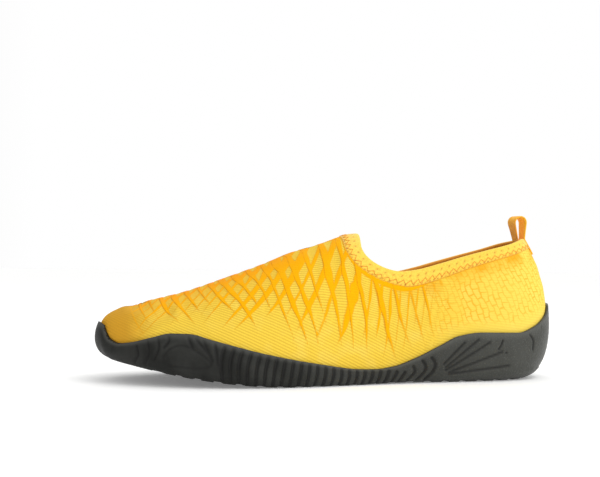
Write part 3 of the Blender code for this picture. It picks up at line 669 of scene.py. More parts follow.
def set_inputs(tree, node, values):
    """Fills inputs, given by name or number, with constants, hex colours or other nodes' outputs."""
    for key, value in values.items():
        socket = node.inputs[key]
        if isinstance(value, bpy.types.NodeSocket):
            tree.links.new(value, socket)
        else:
            socket.default_value = linear(value) if isinstance(value, str) else value


def add_node(tree, kind, *inputs, out=0, **details):
    """Adds a node and gives one of its outputs, or all of them where out is None.

    Inputs come in the node's own order, or as details by name or number, such as i6. A detail
    that is one of the node's settings is set.
    """
    node = tree.nodes.new("ShaderNode" + kind)
    values = dict(enumerate(inputs))
    for name, value in details.items():
        if name in node.bl_rna.properties:
            setattr(node, name, value)
        elif name[1:].isdigit():
            values[int(name[1:])] = value
        else:
            values[name.replace("_", " ")] = value
    set_inputs(tree, node, values)
    return node.outputs if out is None else node.outputs[out]


def new_material(name):
    """A material, its tree, its shader, and add_node for that tree."""
    material = bpy.data.materials.new(name)
    material.use_nodes = True
    tree = material.node_tree
    return material, tree, tree.nodes["Principled BSDF"], functools.partial(add_node, tree)


def scale_for(size):
    """Scale of a texture over places in metres, for features of a size in mm."""
    return 1000 / size


print("golden knit, linear:", [round(v, 3) for v in linear("#F4D048")[:3]])

# %% [markdown]
# ## Fine meshes
#
# Every soft or moulded piece is a set of point grids welded into one closed skin. A subdivided copy
# of the solids would be shorter, but its edges would melt. Values that the materials need, such as
# the distance to a band of the web, are stored on the points while the shape is made, so colour
# and relief always agree.

# %% Mesh from grids
class FineMesh:
    """Collects point grids and named values, and welds them into one piece."""

    def __init__(self):
        self.points = []
        self.faces = []
        self.values = {}
        self.count = 0

    def grid(self, points, **values):
        points = np.asarray(points, dtype=float)
        rows, columns = points.shape[:2]
        index = self.count + np.arange(rows * columns).reshape(rows, columns)
        quads = np.stack((index[:-1, :-1], index[:-1, 1:], index[1:, 1:], index[1:, :-1]), axis=-1)
        self.faces.append(quads.reshape(-1, 4))
        self.points.append(points.reshape(-1, 3))
        for name in set(self.values) | set(values):
            if name not in self.values:
                self.values[name] = [np.zeros(self.count)]
            value = values.get(name, 0.0)
            self.values[name].append(np.broadcast_to(value, (rows, columns)).reshape(-1).astype(float))
        self.count += rows * columns

    def finish(self, name, material, weld=2e-6):
        data = bpy.data.meshes.new(name)
        data.from_pydata(np.concatenate(self.points).tolist(), [], np.concatenate(self.faces).tolist())
        for key, parts in self.values.items():
            layer = data.attributes.new(key, "FLOAT", "POINT")
            layer.data.foreach_set("value", np.concatenate(parts).astype(np.float32))
        mesh = bmesh.new()
        mesh.from_mesh(data)
        bmesh.ops.remove_doubles(mesh, verts=mesh.verts, dist=weld)
        bmesh.ops.recalc_face_normals(mesh, faces=mesh.faces)
        mesh.to_mesh(data)
        mesh.free()
        data.shade_smooth()
        data.materials.append(material)
        piece = bpy.data.objects.new(name, data)
        bpy.context.scene.collection.objects.link(piece)
        triangles = sum(len(p.vertices) - 2 for p in data.polygons)
        print(name, "triangles:", triangles)
        return piece


NOISE_WAVES = 7
NOISE_RANGE = 3.2             # brings the sum of the waves to about -1 to 1


def noise_field(u, v, seed, size):
    """Smooth random field over two coordinates, about -1 to 1, with features of one size."""
    rng = np.random.default_rng(seed)
    total = np.zeros(np.broadcast(u, v).shape)
    for turn in rng.uniform(0, 2 * math.pi, NOISE_WAVES):
        stretch = rng.uniform(0.6, 1.5)
        shift = rng.uniform(0, 2 * math.pi)
        along = u * math.cos(turn) + v * math.sin(turn)
        total = total + np.sin(along * 2 * math.pi * stretch / size + shift)
    return total / NOISE_RANGE


def hashed(index, seed):
    """A fixed random share from 0 to 1 for each whole number."""
    mixed = np.sin(index * 12.9898 + seed * 78.233) * 43758.5453
    return mixed - np.floor(mixed)


print("random shares of three lines:", [round(float(hashed(i, 1)), 2) for i in range(3)])

# %% [markdown]
# ## The web on the knit
#
# The upper is one knitted tube in two yarns. The orange yarn forms a web of crossing bands that runs
# down from the instep, like stretched netting, and fades above the sole. It could be painted as a
# picture, but that would need a flat map of the shoe. It is drawn as two families of lines that
# lean opposite ways. Towards the throat the lines stand steeper and the bands grow wide, and
# towards the toe they become a fine net. The raised yarn is real relief.

# %% Web of the upper
# Rows: place x along the foot in mm, distance between lines, how far a line runs towards the heel
# or towards the toe for each mm it goes down, and the share of a cell that the bands fill.
WEB_COLUMNS = ("x", "pitch", "heelward", "toeward", "heelward_share", "toeward_share")
WEB = (
    (-40, 5.4, 0.24, 0.24, 0.02, 0.02),
    (20, 5.4, 0.26, 0.26, 0.04, 0.03),
    (50, 5.6, 0.28, 0.22, 0.09, 0.07),
    (70, 6.8, 0.22, 0.20, 0.14, 0.14),
    (86, 8.8, 0.14, 0.24, 0.18, 0.23),
    (100, 9.6, 0.24, 0.34, 0.20, 0.25),
    (118, 9.2, 0.40, 0.46, 0.20, 0.25),
    (135, 8.4, 0.56, 0.62, 0.20, 0.23),
    (150, 7.6, 0.74, 0.86, 0.19, 0.20),
    (165, 7.2, 0.86, 1.05, 0.18, 0.17),
    (185, 7.0, 0.88, 1.15, 0.16, 0.13),
    (205, 6.8, 0.85, 1.15, 0.13, 0.10),
    (240, 6.0, 0.85, 1.15, 0.05, 0.04),
)
WEB_X = column(WEB, WEB_COLUMNS, "x")
web_pitch, web_heelward, web_toeward, heelward_share, toeward_share = (
    smooth_curve(WEB_X, column(WEB, WEB_COLUMNS, name)) for name in WEB_COLUMNS[1:])
plain_strip = smooth_curve([40, 90, 115, 135, 160, 185, 205, 220],
                           [9.0, 9.5, 10.5, 12.5, 14.0, 9.0, 5.5, 4.0])
WEB_RELIEF = 0.00030
RIB_PITCH = 1.60              # mm between two ribs of the knit
WEB_RIB_LEAN = math.radians(7.0)     # the ribs drop towards the heel, more so
STRIP_RIB_LEAN = math.radians(26.0)  # in the strip above the sole
FALL_OF_DROP = 0.85           # the lines follow the height lost below the ridge,
FALL_OF_PATH = 0.06           # and a little the way gone over the knit
SPREAD_LEAN = 0.24            # they also run towards the toe as the knit spreads sideways
SPREAD_START = 7.0            # mm, so that the table's places hold half way down the side
WANDER = (0.13, 44.0)         # share of a cell by which a line wanders, and over how many mm
SHAKE = (0.022, 15.0)         # the same for its small shakes
BAND_SIZE = (0.50, 1.50)      # thinnest and widest band, against the table's share
BAND_REACH = (0.78, 1.08)     # shortest and longest band, against the room above the plain strip
BAND_TAPER = 2.6              # the higher, the later a band grows thin
CROWN_REACH = 16.0            # mm below the ridge within which the bands crowd
CROWN_FILL = (-0.34, 0.28)    # change of the bands on the ridge, at the throat and ahead of it
CROWN_FILL_START = 112.0      # mm, place of that change
CROWN_FILL_RUN = 22.0         # mm
PATCHY = (0.26, 24.0)         # share by which bands swell and shrink, and over how many mm
PITCH_STEPS = np.linspace(-90.0, 290.0, 761)
PITCH_COUNT = np.concatenate(([0.0], np.cumsum(np.diff(PITCH_STEPS) / web_pitch(PITCH_STEPS[:-1]))))


def web_phases(x, fall):
    """Counts of the two families of lines at a place x along the foot, at a fall below the ridge.

    The fall is positive on the outer side and negative on the inner side, so that a line that
    crosses the ridge keeps its number."""
    count = np.interp(x, PITCH_STEPS, PITCH_COUNT)
    heelward = web_heelward(x) / web_pitch(x) * np.abs(fall)
    toeward = web_toeward(x) / web_pitch(x) * np.abs(fall)
    one = count + np.where(fall > 0, heelward, -toeward)
    two = count + np.where(fall > 0, -toeward, heelward)
    for amount, size, seed_one, seed_two in ((*WANDER, 3, 8), (*SHAKE, 4, 9)):
        one = one + amount * noise_field(x, fall, seed_one, size)
        two = two + amount * noise_field(x, fall, seed_two, size)
    return one, two


def web_bands(x, fall, down, room):
    """Distance to the nearest band in mm, negative inside, and half the width of heelward bands."""
    pitch = web_pitch(x)
    near_ridge = np.exp(-(down / CROWN_REACH) ** 2)
    ahead = smooth_step((x - CROWN_FILL_START) / CROWN_FILL_RUN)
    crowd = 1 + near_ridge * (CROWN_FILL[0] + (CROWN_FILL[1] - CROWN_FILL[0]) * ahead)
    uneven = 1 + PATCHY[0] * noise_field(x, np.sign(fall) * down, 12, PATCHY[1])
    best = np.full(x.shape, 9.0)
    fold_half = None
    for seed, phase in enumerate(web_phases(x, fall)):
        line = np.round(phase)
        away = np.abs(phase - line) * pitch
        size = BAND_SIZE[0] + (BAND_SIZE[1] - BAND_SIZE[0]) * hashed(line, seed + 1)
        reach = room * (BAND_REACH[0] + (BAND_REACH[1] - BAND_REACH[0]) * hashed(line, seed + 5))
        taper = np.clip(1 - (down / np.maximum(reach, 1.0)) ** BAND_TAPER, -0.3, 1.0)
        heelward = (fall > 0) == (seed == 0)
        share = np.where(heelward, heelward_share(x), toeward_share(x))
        half = share * pitch * size * taper * crowd * uneven
        best = np.minimum(best, away - half)
        fold_half = half if fold_half is None else np.where(heelward, half, fold_half)
    return best, fold_half


print("lines of each family along the shoe:", int(PITCH_COUNT[-1]))

# %% [markdown]
# ## The knit upper
#
# The upper is a sock without a tongue, drawn over the last, so it takes the last's smooth form and
# only puckers where it was pulled: at the toe, beside the throat and behind the ankle. A cloth
# simulation could make folds, but not these few in their places. So each pucker is a path along
# the knit, with a soft trough and a low ridge beside it.

# %% Puckers of the upper
# Each pucker: side (1 outer, -1 inner), points as x and height in mm, depth and half width in mm.
PUCKERS = (
    (1, ((214, 44), (205, 41), (197, 41)), 0.80, 3.2),
    (1, ((212, 31), (204, 35), (197, 40)), 0.85, 2.8),
    (1, ((196, 45), (187, 41), (180, 40)), 0.45, 3.0),
    (1, ((101, 70), (104, 62), (106, 52)), 0.55, 3.2),
    (1, ((95, 63), (92, 54), (93, 45)), 0.40, 3.4),
    (1, ((112, 76), (114, 68), (113, 60)), 0.35, 3.6),
    (1, ((-22, 70), (-12, 66), (-2, 66)), 0.35, 3.6),
    (1, ((-28, 60), (-18, 56), (-8, 57)), 0.30, 3.6),
    (1, ((20, 52), (34, 47), (48, 48)), 0.30, 4.5),
    (-1, ((213, 43), (204, 40), (195, 41)), 0.70, 3.2),
    (-1, ((102, 70), (104, 61), (105, 50)), 0.50, 3.4),
    (-1, ((120, 66), (121, 57), (119, 48)), 0.35, 3.8),
    (-1, ((-22, 68), (-12, 64), (-2, 65)), 0.35, 3.6),
    (-1, ((30, 45), (46, 42), (60, 44)), 0.35, 4.6),
)

RIDGE_AWAY = 1.9              # place of the low ridge beside a trough, in half widths
RIDGE_HALF = 0.8              # its own half width
RIDGE_SHARE = 0.45            # its height against the trough's depth


def path_distance(u, v, path):
    """Distance in the (u, v) plane to a path of straight runs."""
    best = np.full(u.shape, 1e9)
    for (a_u, a_v), (b_u, b_v) in zip(path[:-1], path[1:]):
        run_u = b_u - a_u
        run_v = b_v - a_v
        share = ((u - a_u) * run_u + (v - a_v) * run_v) / (run_u ** 2 + run_v ** 2)
        share = np.clip(share, 0.0, 1.0)
        best = np.minimum(best, np.hypot(u - a_u - share * run_u, v - a_v - share * run_v))
    return best


def pucker_height(points, side):
    """How far the puckers move the knit, in metres."""
    x = 1000 * points[..., 0]
    z = 1000 * points[..., 2]
    total = np.zeros(x.shape)
    for which, path, depth, half in PUCKERS:
        if which != side:
            continue
        away = path_distance(x, z, path) / half
        beside = np.exp(-((away - RIDGE_AWAY) / RIDGE_HALF) ** 2)
        total += depth * (RIDGE_SHARE * beside - np.exp(-away ** 2))
    return total / 1000


print("puckers on both sides:", len(PUCKERS))

# %% [markdown]
# ### Skin of the upper
#
# The real sock is one cloth, a little under two millimetres thick. Its skin is an outer and an inner
# grid, joined at the collar and below. Thickening one sheet would be shorter, but the raised bands
# stand on the outer face only.

# %% Skin of the upper
FRONT_COLUMNS = 220
BACK_COLUMNS = 225
OUTER_ROWS = 88
INNER_ROWS = 14
SHORTEST_ROOM = 4.0           # mm that every band may run down
FAR_FROM_WEB = 9.0            # mm, told to the material where there is no web
WEB_TOE_END = (219.0, 10.0)   # mm, where the web ends at the toe, and over how much it fades
WEB_HEEL_END = (30.0, 22.0)   # the same towards the heel
WEB_LOW_FADE = 3.0            # mm above the rubber
RIM_STRIP = 3.2               # mm of orange yarn along the collar's low side
RIM_STRIP_BACK = (42.0, 25.0)    # mm, where that strip begins, and over how much
RIM_STRIP_FRONT = (104.0, 8.0)   # mm, where it ends, and over how much
RAISED_EDGE = 0.35            # mm on either side of a band's edge over which its relief rises


def upper_grid(feet, ends, level, shares):
    s = feet + (ends[:, 0] - feet) * smooth_step(shares)[:, None]
    t = level + (ends[:, 1] - level) * np.asarray(shares)[:, None]
    return s, t


def fine_upper_columns(lateral):
    sign = 1 if lateral else -1
    seam = collar_contour(lateral, 1.0, GAP / 6)
    start = abs(seam[0, 0]) * 2
    even = np.linspace(0.0, 1.0, FRONT_COLUMNS + 1)[:-1]
    front = start * (0.62 * even + 0.38 * even ** 2)
    ends = np.concatenate((np.stack((sign * front / 2, np.ones(len(front))), axis=-1),
                           spread(seam, BACK_COLUMNS)))
    feet = np.concatenate((front, np.linspace(start, 1.0, BACK_COLUMNS))) * sign / 2
    return feet, ends


def rib_count(height, x, lean):
    """Number of ribs passed on the way up the side, for ribs that drop towards the heel."""
    return (height * math.cos(lean) - x * math.sin(lean)) / RIB_PITCH


def make_fine_upper(material):
    skin = FineMesh()
    for lateral in (True, False):
        side = 1 if lateral else -1
        feet, ends = fine_upper_columns(lateral)
        level = side_level(feet)
        shares = np.linspace(0.0, 1.0, OUTER_ROWS + 1)
        s, t = upper_grid(feet, ends, level, shares)
        s_low = np.broadcast_to(feet, (4, len(feet)))
        t_low = level[None, :] * np.array([0.0, 0.4, 0.8, 0.95])[:, None]
        s = np.concatenate((s_low, s))
        t = np.concatenate((t_low, t))
        points = upper_face(s, t)
        normals = upper_normal(s, t)
        steps = np.linalg.norm(np.diff(points, axis=0), axis=-1) * 1000
        down = np.concatenate((np.cumsum(steps[::-1], axis=0)[::-1], np.zeros((1, steps.shape[1]))))
        x = points[..., 0] * 1000
        z = points[..., 2] * 1000
        length = down[4][None, :]
        room = np.maximum(length - plain_strip(x), SHORTEST_ROOM)
        lost = FALL_OF_DROP * (z[-1] - z) + FALL_OF_PATH * down
        whole = lost[4]
        ridge = np.concatenate((whole[:FRONT_COLUMNS], np.full(BACK_COLUMNS, whole[FRONT_COLUMNS])))
        fall = side * (ridge - whole + lost)
        crown = points[-1, FRONT_COLUMNS - 1::-1]
        sideways = np.abs(points[..., 1] - np.interp(points[..., 0], crown[:, 0], crown[:, 1])) * 1000
        drawn_x = x - SPREAD_LEAN * sideways + SPREAD_START
        bands, fold_half = web_bands(drawn_x, fall, down, room)
        strip_share = (smooth_step((x - RIM_STRIP_BACK[0]) / RIM_STRIP_BACK[1])
                       * smooth_step((RIM_STRIP_FRONT[0] - x) / RIM_STRIP_FRONT[1]))
        bands = np.minimum(bands, down - RIM_STRIP * strip_share)
        raised = 1 - smooth_step((bands + RAISED_EDGE) / (2 * RAISED_EDGE))
        show = (smooth_step((length - down) / WEB_LOW_FADE)
                * smooth_step((WEB_TOE_END[0] - x) / WEB_TOE_END[1])
                * smooth_step((x - WEB_HEEL_END[0]) / WEB_HEEL_END[1]))
        fade_front = smooth_step((length - down - 0.5) / 3.0) * smooth_step(down / 2.0 + 0.4)
        out = WEB_RELIEF * raised * show + pucker_height(points, side) * fade_front
        outer = points + normals * out[..., None]
        level_line = length - down + z[4]
        one, two = web_phases(drawn_x, fall)
        along = np.broadcast_to(way_of(s) * HALF_ROUND * 1000, x.shape)
        values = dict(web=bands, web_show=show, fold_count=one if side == 1 else two,
                      fold_half=fold_half, fold_pitch=web_pitch(drawn_x), knit_along=along, knit_down=down,
                      knit_up=length - down, knit_x=x,
                      ribs=rib_count(level_line, x, WEB_RIB_LEAN),
                      strip_ribs=rib_count(level_line, x, STRIP_RIB_LEAN))
        skin.grid(outer, **values)
        s_in, t_in = upper_grid(feet, ends, level, np.linspace(0.0, 1.0, INNER_ROWS + 1))
        s_in = np.concatenate((s_low, s_in))
        t_in = np.concatenate((t_low, t_in))
        inner = upper_offset(s_in, t_in, np.full(s_in.shape, -WALL))
        inside = dict(web=FAR_FROM_WEB, knit_x=inner[..., 0] * 1000, knit_up=40.0, knit_down=20.0,
                      ribs=inner[..., 2] * 1000 / RIB_PITCH)
        skin.grid(inner, **inside)
        skin.grid([outer[0], inner[0]], web=FAR_FROM_WEB, knit_up=20.0)
        skin.grid([outer[-1][FRONT_COLUMNS:], inner[-1][FRONT_COLUMNS:]], web=FAR_FROM_WEB, knit_up=20.0)
    return skin.finish("knit_upper_skin", material)


print("columns round each side of the upper:", FRONT_COLUMNS + BACK_COLUMNS)

# %% [markdown]
# ### Knit material
#
# Polyester knit in a pale and an orange yarn. The loops stand in fine ribs about a millimetre and a
# half apart, which scatter light softly, so the cloth is rough and hardly shines. A wave texture
# could draw the ribs, but as flat cuts through the shoe. So they are counted on the points, and the
# shader only turns the count into a wave. Zones along the foot change the tint of the cloth, and
# painted shade darkens the toe, the grooves between the ribs, the edges of the bands and the cloth
# just under the collar band.

# %% Knit material
KNIT_PALE = "#F4D048"
# painted shade between the ribs of the ground yarn
KNIT_RIB_SHADE = "#C9952A"
KNIT_LIGHT = "#F9E070"
KNIT_HEEL = "#F9DA5E"
KNIT_UNDER_WEB = "#EFB42C"
# golden toe cap, darkened with painted shade
KNIT_TOE_GOLD_SHADED = "#D69E2C"
BAND_BRIGHT = "#FDB600"
BAND_DEEP = "#F79E00"
# painted shade at the edges of the web's bands, between their ribs and along their folds
WEB_EDGE_SHADE = "#C87A12"
# orange yarn of the heel's net, also used as painted shade just under the collar band
BRICK_YARN_AND_UNDER_BAND_SHADE = "#F0A818"
BRICK_LENGTH = 6.4            # mm, the long way of a brick in the heel's pattern
BRICK_ROW = 3.4               # mm
BRICK_GAP = 0.62              # mm, yarn between two bricks
BRICK_SLANT = -0.38           # the rows lean towards the toe on their way down
BRICK_WANDER = (6.0, 8.0)     # mm by which the soft patches bend the rows
KNIT_FIBRE = 0.714            # mm, stray fibres that fray every edge of colour
KNIT_LOOP = 0.909             # mm, one loop of the knit
KNIT_PATCH = 11.1             # mm, soft patches of lighter cloth
KNIT_VALUES = ("knit_x", "knit_up", "knit_down", "knit_along", "ribs", "strip_ribs", "web", "web_show",
               "fold_count", "fold_half", "fold_pitch")
# Zones: name, value that it follows, where it begins and where it is full.
KNIT_ZONES = (
    ("above_sole", "knit_up", 32.0, 20.0),
    ("past_heel", "knit_x", 30.0, 60.0),
    ("ribbed", "knit_x", 20.0, 60.0),
    ("to_heel", "knit_x", 60.0, -20.0),
    ("behind_arch", "knit_x", 56.0, 36.0),
    ("off_sole", "knit_up", 3.0, 10.0),
    ("below_band", "knit_down", 11.0, 1.0),
    ("beside_collar", "knit_x", 95.0, 20.0),
    ("on_instep", "knit_down", 46.0, 6.0),
    ("to_toe", "knit_x", 95.0, 165.0),
    ("toe_cap", "knit_x", 200.0, 222.0),
    ("near_ridge", "knit_down", 30.0, 0.0),
    ("before_throat", "knit_x", 60.0, 170.0),
    ("broad_fold", "fold_half", 0.12, 0.6),
    ("light_patch", "patch", 0.45, 0.75),
    ("net_patch", "patch", 0.35, 0.62),
    ("under_band_shade_patch", "patch", 0.30, 0.65),
    ("fold_patch", "patch", 0.35, 0.60),
)


def knit_material():
    material, tree, shader, add = new_material("polyester_knit_two_yarns")
    place = add("TexCoord", out="Object")
    patch = add("TexNoise", Vector=place, Scale=scale_for(KNIT_PATCH), Detail=3.0)
    fibre = add("TexNoise", Vector=place, Scale=scale_for(KNIT_FIBRE), Detail=2.0)
    loops = add("TexVoronoi", Vector=place, Scale=scale_for(KNIT_LOOP))
    value = {name: add("Attribute", attribute_name=name, out="Fac") for name in KNIT_VALUES}
    value["patch"] = patch
    zone = {name: add("MapRange", value[follows], begin, full, **SMOOTH)
            for name, follows, begin, full in KNIT_ZONES}

    # Fine ribs, which lean more in the strip above the sole.
    waves = []
    for name in ("ribs", "strip_ribs"):
        turns = add("Math", fibre, 0.25, value[name], **TIMES_PLUS)
        swing = add("Math", add("Math", turns, 2 * math.pi, **TIMES), operation="SINE")
        waves.append(add("Math", swing, 0.5, 0.5, **TIMES_PLUS))
    strip = add("Math", zone["above_sole"], zone["past_heel"], **TIMES)
    wave = add("Mix", strip, i2=waves[0], i3=waves[1])
    rib_depth = add("Math", zone["ribbed"], 0.70, 0.30, **TIMES_PLUS)

    # Brick-like net of the orange yarn over the heel.
    lean = add("Math", value["knit_down"], BRICK_SLANT, value["knit_along"], **TIMES_PLUS)
    net_x = add("Math", patch, BRICK_WANDER[0], value["knit_down"], **TIMES_PLUS)
    net_y = add("Math", patch, BRICK_WANDER[1], lean, **TIMES_PLUS)
    net = add("TexBrick", Vector=add("CombineXYZ", net_x, net_y), Scale=1.0, Mortar_Size=BRICK_GAP,
              Mortar_Smooth=1.0, Brick_Width=BRICK_LENGTH, Row_Height=BRICK_ROW, out="Fac")
    worn = add("Math", zone["net_patch"], 0.45, 0.42, **TIMES_PLUS)
    for factor in (zone["behind_arch"], zone["off_sole"], worn):
        net = add("Math", net, factor, **TIMES)

    # The pale ground yarn: lighter at the heel, golden at the toe. Painted shade darkens the toe, the
    # cloth just under the collar band and the grooves between its ribs.
    # painted shade just under the collar band beside the heel, in the orange of the yarn
    under_band_shade = add("Math", zone["below_band"], zone["beside_collar"], **TIMES)
    under_band_shade = add("Math", under_band_shade, zone["under_band_shade_patch"], **TIMES)
    forward = add("Math", zone["on_instep"], zone["to_toe"], **TIMES)
    # painted shade in the grooves between the ribs
    rib_groove_shade = add("Math", add("MapRange", wave, 0.65, 0.1, **SMOOTH), rib_depth, **TIMES)
    ground = add("Mix", zone["to_heel"], i6=KNIT_PALE, i7=KNIT_HEEL, **COLOURS)
    for share, strength, tint in ((zone["light_patch"], 0.35, KNIT_LIGHT), (net, 1.0, BRICK_YARN_AND_UNDER_BAND_SHADE),
                                  (under_band_shade, 0.85, BRICK_YARN_AND_UNDER_BAND_SHADE), (forward, 0.62, KNIT_UNDER_WEB),
                                  (zone["toe_cap"], 1.0, KNIT_TOE_GOLD_SHADED), (rib_groove_shade, 0.44, KNIT_RIB_SHADE)):
        ground = add("Mix", add("Math", share, strength, **TIMES), i6=ground, i7=tint, **COLOURS)

    # The orange yarn of the web: deepest over the instep ridge.
    crown = add("Math", zone["near_ridge"], zone["before_throat"], **TIMES)
    depth = add("Math", crown, 0.85, add("Math", patch, 0.25, **TIMES), **TIMES_PLUS)
    yarn = add("Mix", depth, i6=BAND_BRIGHT, i7=BAND_DEEP, **COLOURS)
    # painted shade between the ribs of the orange yarn
    painted_rib_shade_on_yarn = add("Math", add("MapRange", wave, 0.5, 0.05, **SMOOTH), 0.07, **TIMES)
    yarn = add("Mix", painted_rib_shade_on_yarn, i6=yarn, i7=WEB_EDGE_SHADE, **COLOURS)
    web = add("Math", value["web"], add("Math", fibre, 0.6, -0.3, **TIMES_PLUS), operation="ADD")
    band = add("Math", add("MapRange", web, 0.25, -0.25, **SMOOTH), value["web_show"], **TIMES)
    colour = add("Mix", band, i6=ground, i7=yarn, **COLOURS)
    # painted shade along the edges of the bands
    painted_rim_shade = add("MapRange", add("Math", web, operation="ABSOLUTE"), 0.45, 0.05, **SMOOTH)
    painted_rim_shade = add("Math", painted_rim_shade, value["web_show"], **TIMES)

    # Each steep band ends in a fold of yarn on its toe side: a dent in the relief and a painted shadow line.
    turn = add("Math", add("Math", value["fold_count"], 0.5, operation="ADD"), operation="FRACT")
    turn = add("Math", turn, 0.5, operation="SUBTRACT")
    past = add("Math", turn, value["fold_pitch"], **TIMES)
    past = add("Math", past, value["fold_half"], operation="SUBTRACT")
    fold_dent_and_shadow = add("MapRange", add("Math", past, operation="ABSOLUTE"), 0.42, 0.08, **SMOOTH)
    broken = add("Math", zone["fold_patch"], 0.55, 0.45, **TIMES_PLUS)
    for factor in (value["web_show"], zone["broad_fold"], broken):
        fold_dent_and_shadow = add("Math", fold_dent_and_shadow, factor, **TIMES)
    for share, strength in ((painted_rim_shade, 0.22), (fold_dent_and_shadow, 0.48)):
        colour = add("Mix", add("Math", share, strength, **TIMES), i6=colour, i7=WEB_EDGE_SHADE, **COLOURS)

    height = add("Math", loops, 0.5, **TIMES)
    for part, amount in ((add("Math", wave, rib_depth, **TIMES), 0.5), (fibre, 0.3), (fold_dent_and_shadow, -0.9)):
        height = add("Math", part, amount, height, **TIMES_PLUS)
    bump = add("Bump", Strength=0.55, Distance=0.00030, Height=height)
    set_inputs(tree, shader, {"Base Color": colour, "Normal": bump, "Roughness": 0.82,
                              "Specular IOR Level": 0.08})
    return material


knit = knit_material()
upper_skin = make_fine_upper(knit)
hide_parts("upper")
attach(upper_skin, "root")
print("zones of the knit:", len(KNIT_ZONES))

# %% [markdown]
# ## The moulded sole
#
# The cup sole is one moulded piece. Its side carries a hand-cut looking set of grooves: short hooks
# at the toe, a smooth oval pad, a long run of waves, and straight slashes that fan out on the heel.
# Boolean cuts would leave sharp edges, and moulded grooves are soft. So each groove is a path
# across the side, and the skin sinks towards it.

# %% Grooves of the sole side
RIB_GROOVE = 1.00             # depth and half width of a groove, in mm
RIB_HALF = 1.25
WAVE_PITCH = 4.8              # mm between the waves along the side


def side_paths(lateral):
    """Groove paths as (points, depth, half width) with points as x and height in mm."""
    paths = []
    hooks = ((215.5, 21.8, 13.2), (210.3, 24.8, 12.6), (205.3, 27.0, 15.6), (200.4, 28.4, 21.8))
    for x, high, low in hooks:
        middle = (high + low) / 2
        paths.append((((x - 0.4, high), (x - 2.2, middle), (x + 0.6, low)), 0.75, 1.15))
    for a, b in (((188.9, 27.1), (186.4, 21.6)), ((184.8, 26.4), (176.8, 17.2)),
                 ((180.9, 25.2), (176.2, 15.2)), ((174.8, 23.5), (173.0, 12.6))):
        paths.append(((a, b), 0.8, 1.2))
    pad = ((201.4, 16.9), (198.3, 21.1), (192.0, 23.6), (184.2, 20.3), (176.4, 14.4), (177.2, 11.1),
           (188.9, 11.0), (199.9, 12.4), (201.4, 16.9))
    paths.append((pad, 0.55, 1.0))
    high = smooth_curve([60, 70, 95, 117, 140, 158, 170], [6.2, 7.0, 9.5, 12.6, 16.2, 19.8, 22.5])
    for x in np.arange(64.0, 171.0, WAVE_PITCH):
        top = float(high(x))
        lean = float(np.interp(x, [60, 100, 135, 158, 170], [3.4, 1.6, 2.4, 1.8, 1.0]))
        bow = float(np.interp(x, [60, 100, 135, 158, 170], [0.0, -0.3, 0.4, 1.6, 1.8]))
        low = 1.6 + float(np.interp(x, [150, 172], [0.0, 3.4]))
        middle = low + 0.55 * (top - low)
        paths.append((((x, top), (x + lean / 2 + bow, middle), (x + lean, low)), RIB_GROOVE, RIB_HALF))
    paths.append((((47.2, 14.5), (44.6, 10.5), (47.0, 6.1), (51.0, 2.4)), 0.9, 1.25))
    paths.append((((52.8, 12.8), (50.6, 9.3), (52.2, 6.0), (56.0, 2.4)), 0.9, 1.25))
    paths.append((((58.6, 9.8), (57.4, 6.8), (62.0, 2.2)), 0.85, 1.2))
    if lateral:
        fan = (((40.0, 10.9), (27.2, 23.1)), ((38.7, 9.1), (18.4, 24.8)), ((38.7, 7.3), (11.5, 23.0)),
               ((36.8, 6.0), (3.5, 17.5)), ((36.8, 5.1), (-1.5, 9.3)))
    else:
        fan = (((40.0, 9.5), (27.2, 17.1)), ((38.7, 8.1), (18.4, 18.8)), ((38.7, 6.9), (9.5, 17.0)),
               ((36.8, 5.8), (1.5, 13.5)), ((36.8, 4.8), (-3.5, 8.3)))
    for path in fan:
        paths.append((path, 0.75, 1.05))
    paths.append((((3.0, 24.2), (4.0, 21.5), (6.0, 18.9)), 0.8, 0.8))
    paths.append((((1.0, 17.0), (0.6, 16.9)), 0.8, 0.9))
    paths.append((((-16.1, 27.3), (-19.0, 24.0), (-18.2, 18.5)), 0.8, 0.9))
    paths.append((((-25.4, 33.0), (-25.8, 31.2)), 0.6, 0.8))
    return paths


def rounded(path):
    """The same path with its corners cut twice, so it bends softly."""
    path = np.asarray(path, dtype=float)
    for _ in range(2):
        near = 0.75 * path[:-1] + 0.25 * path[1:]
        far = 0.25 * path[:-1] + 0.75 * path[1:]
        cut = np.stack((near, far), axis=1).reshape(-1, 2)
        path = np.vstack((path[:1], cut[1:-1], path[-1:]))
    return path


def sole_grooves(way, z, lateral):
    """Depth of the grooves below the side of the sole, in metres."""
    along = way * HALF_ROUND * 1000
    z = z * 1000
    total = np.zeros(along.shape)
    for path, depth, half in side_paths(lateral):
        placed = [(float(way_at(x / 1000)) * HALF_ROUND * 1000, height) for x, height in rounded(path)]
        lows = np.min(placed, axis=0) - 2 * half
        highs = np.max(placed, axis=0) + 2 * half
        near = (along > lows[0]) & (along < highs[0]) & (z > lows[1]) & (z < highs[1])
        if near.any():
            away = path_distance(along[near], z[near], placed)
            total[near] = np.maximum(total[near], depth * smooth_step(1 - away / (1.35 * half)))
    return total / 1000


print("grooves on the outer side:", len(side_paths(True)))

# %% [markdown]
# ### Skin of the sole
#
# The cup has a side, a thin top edge, an inner face behind the upper, a bed, and a tread with lugs.
# They are grids that share their edge points. The steps at the heel and the notches at the lower
# corner move the same points, because a bump would not show in the outline.

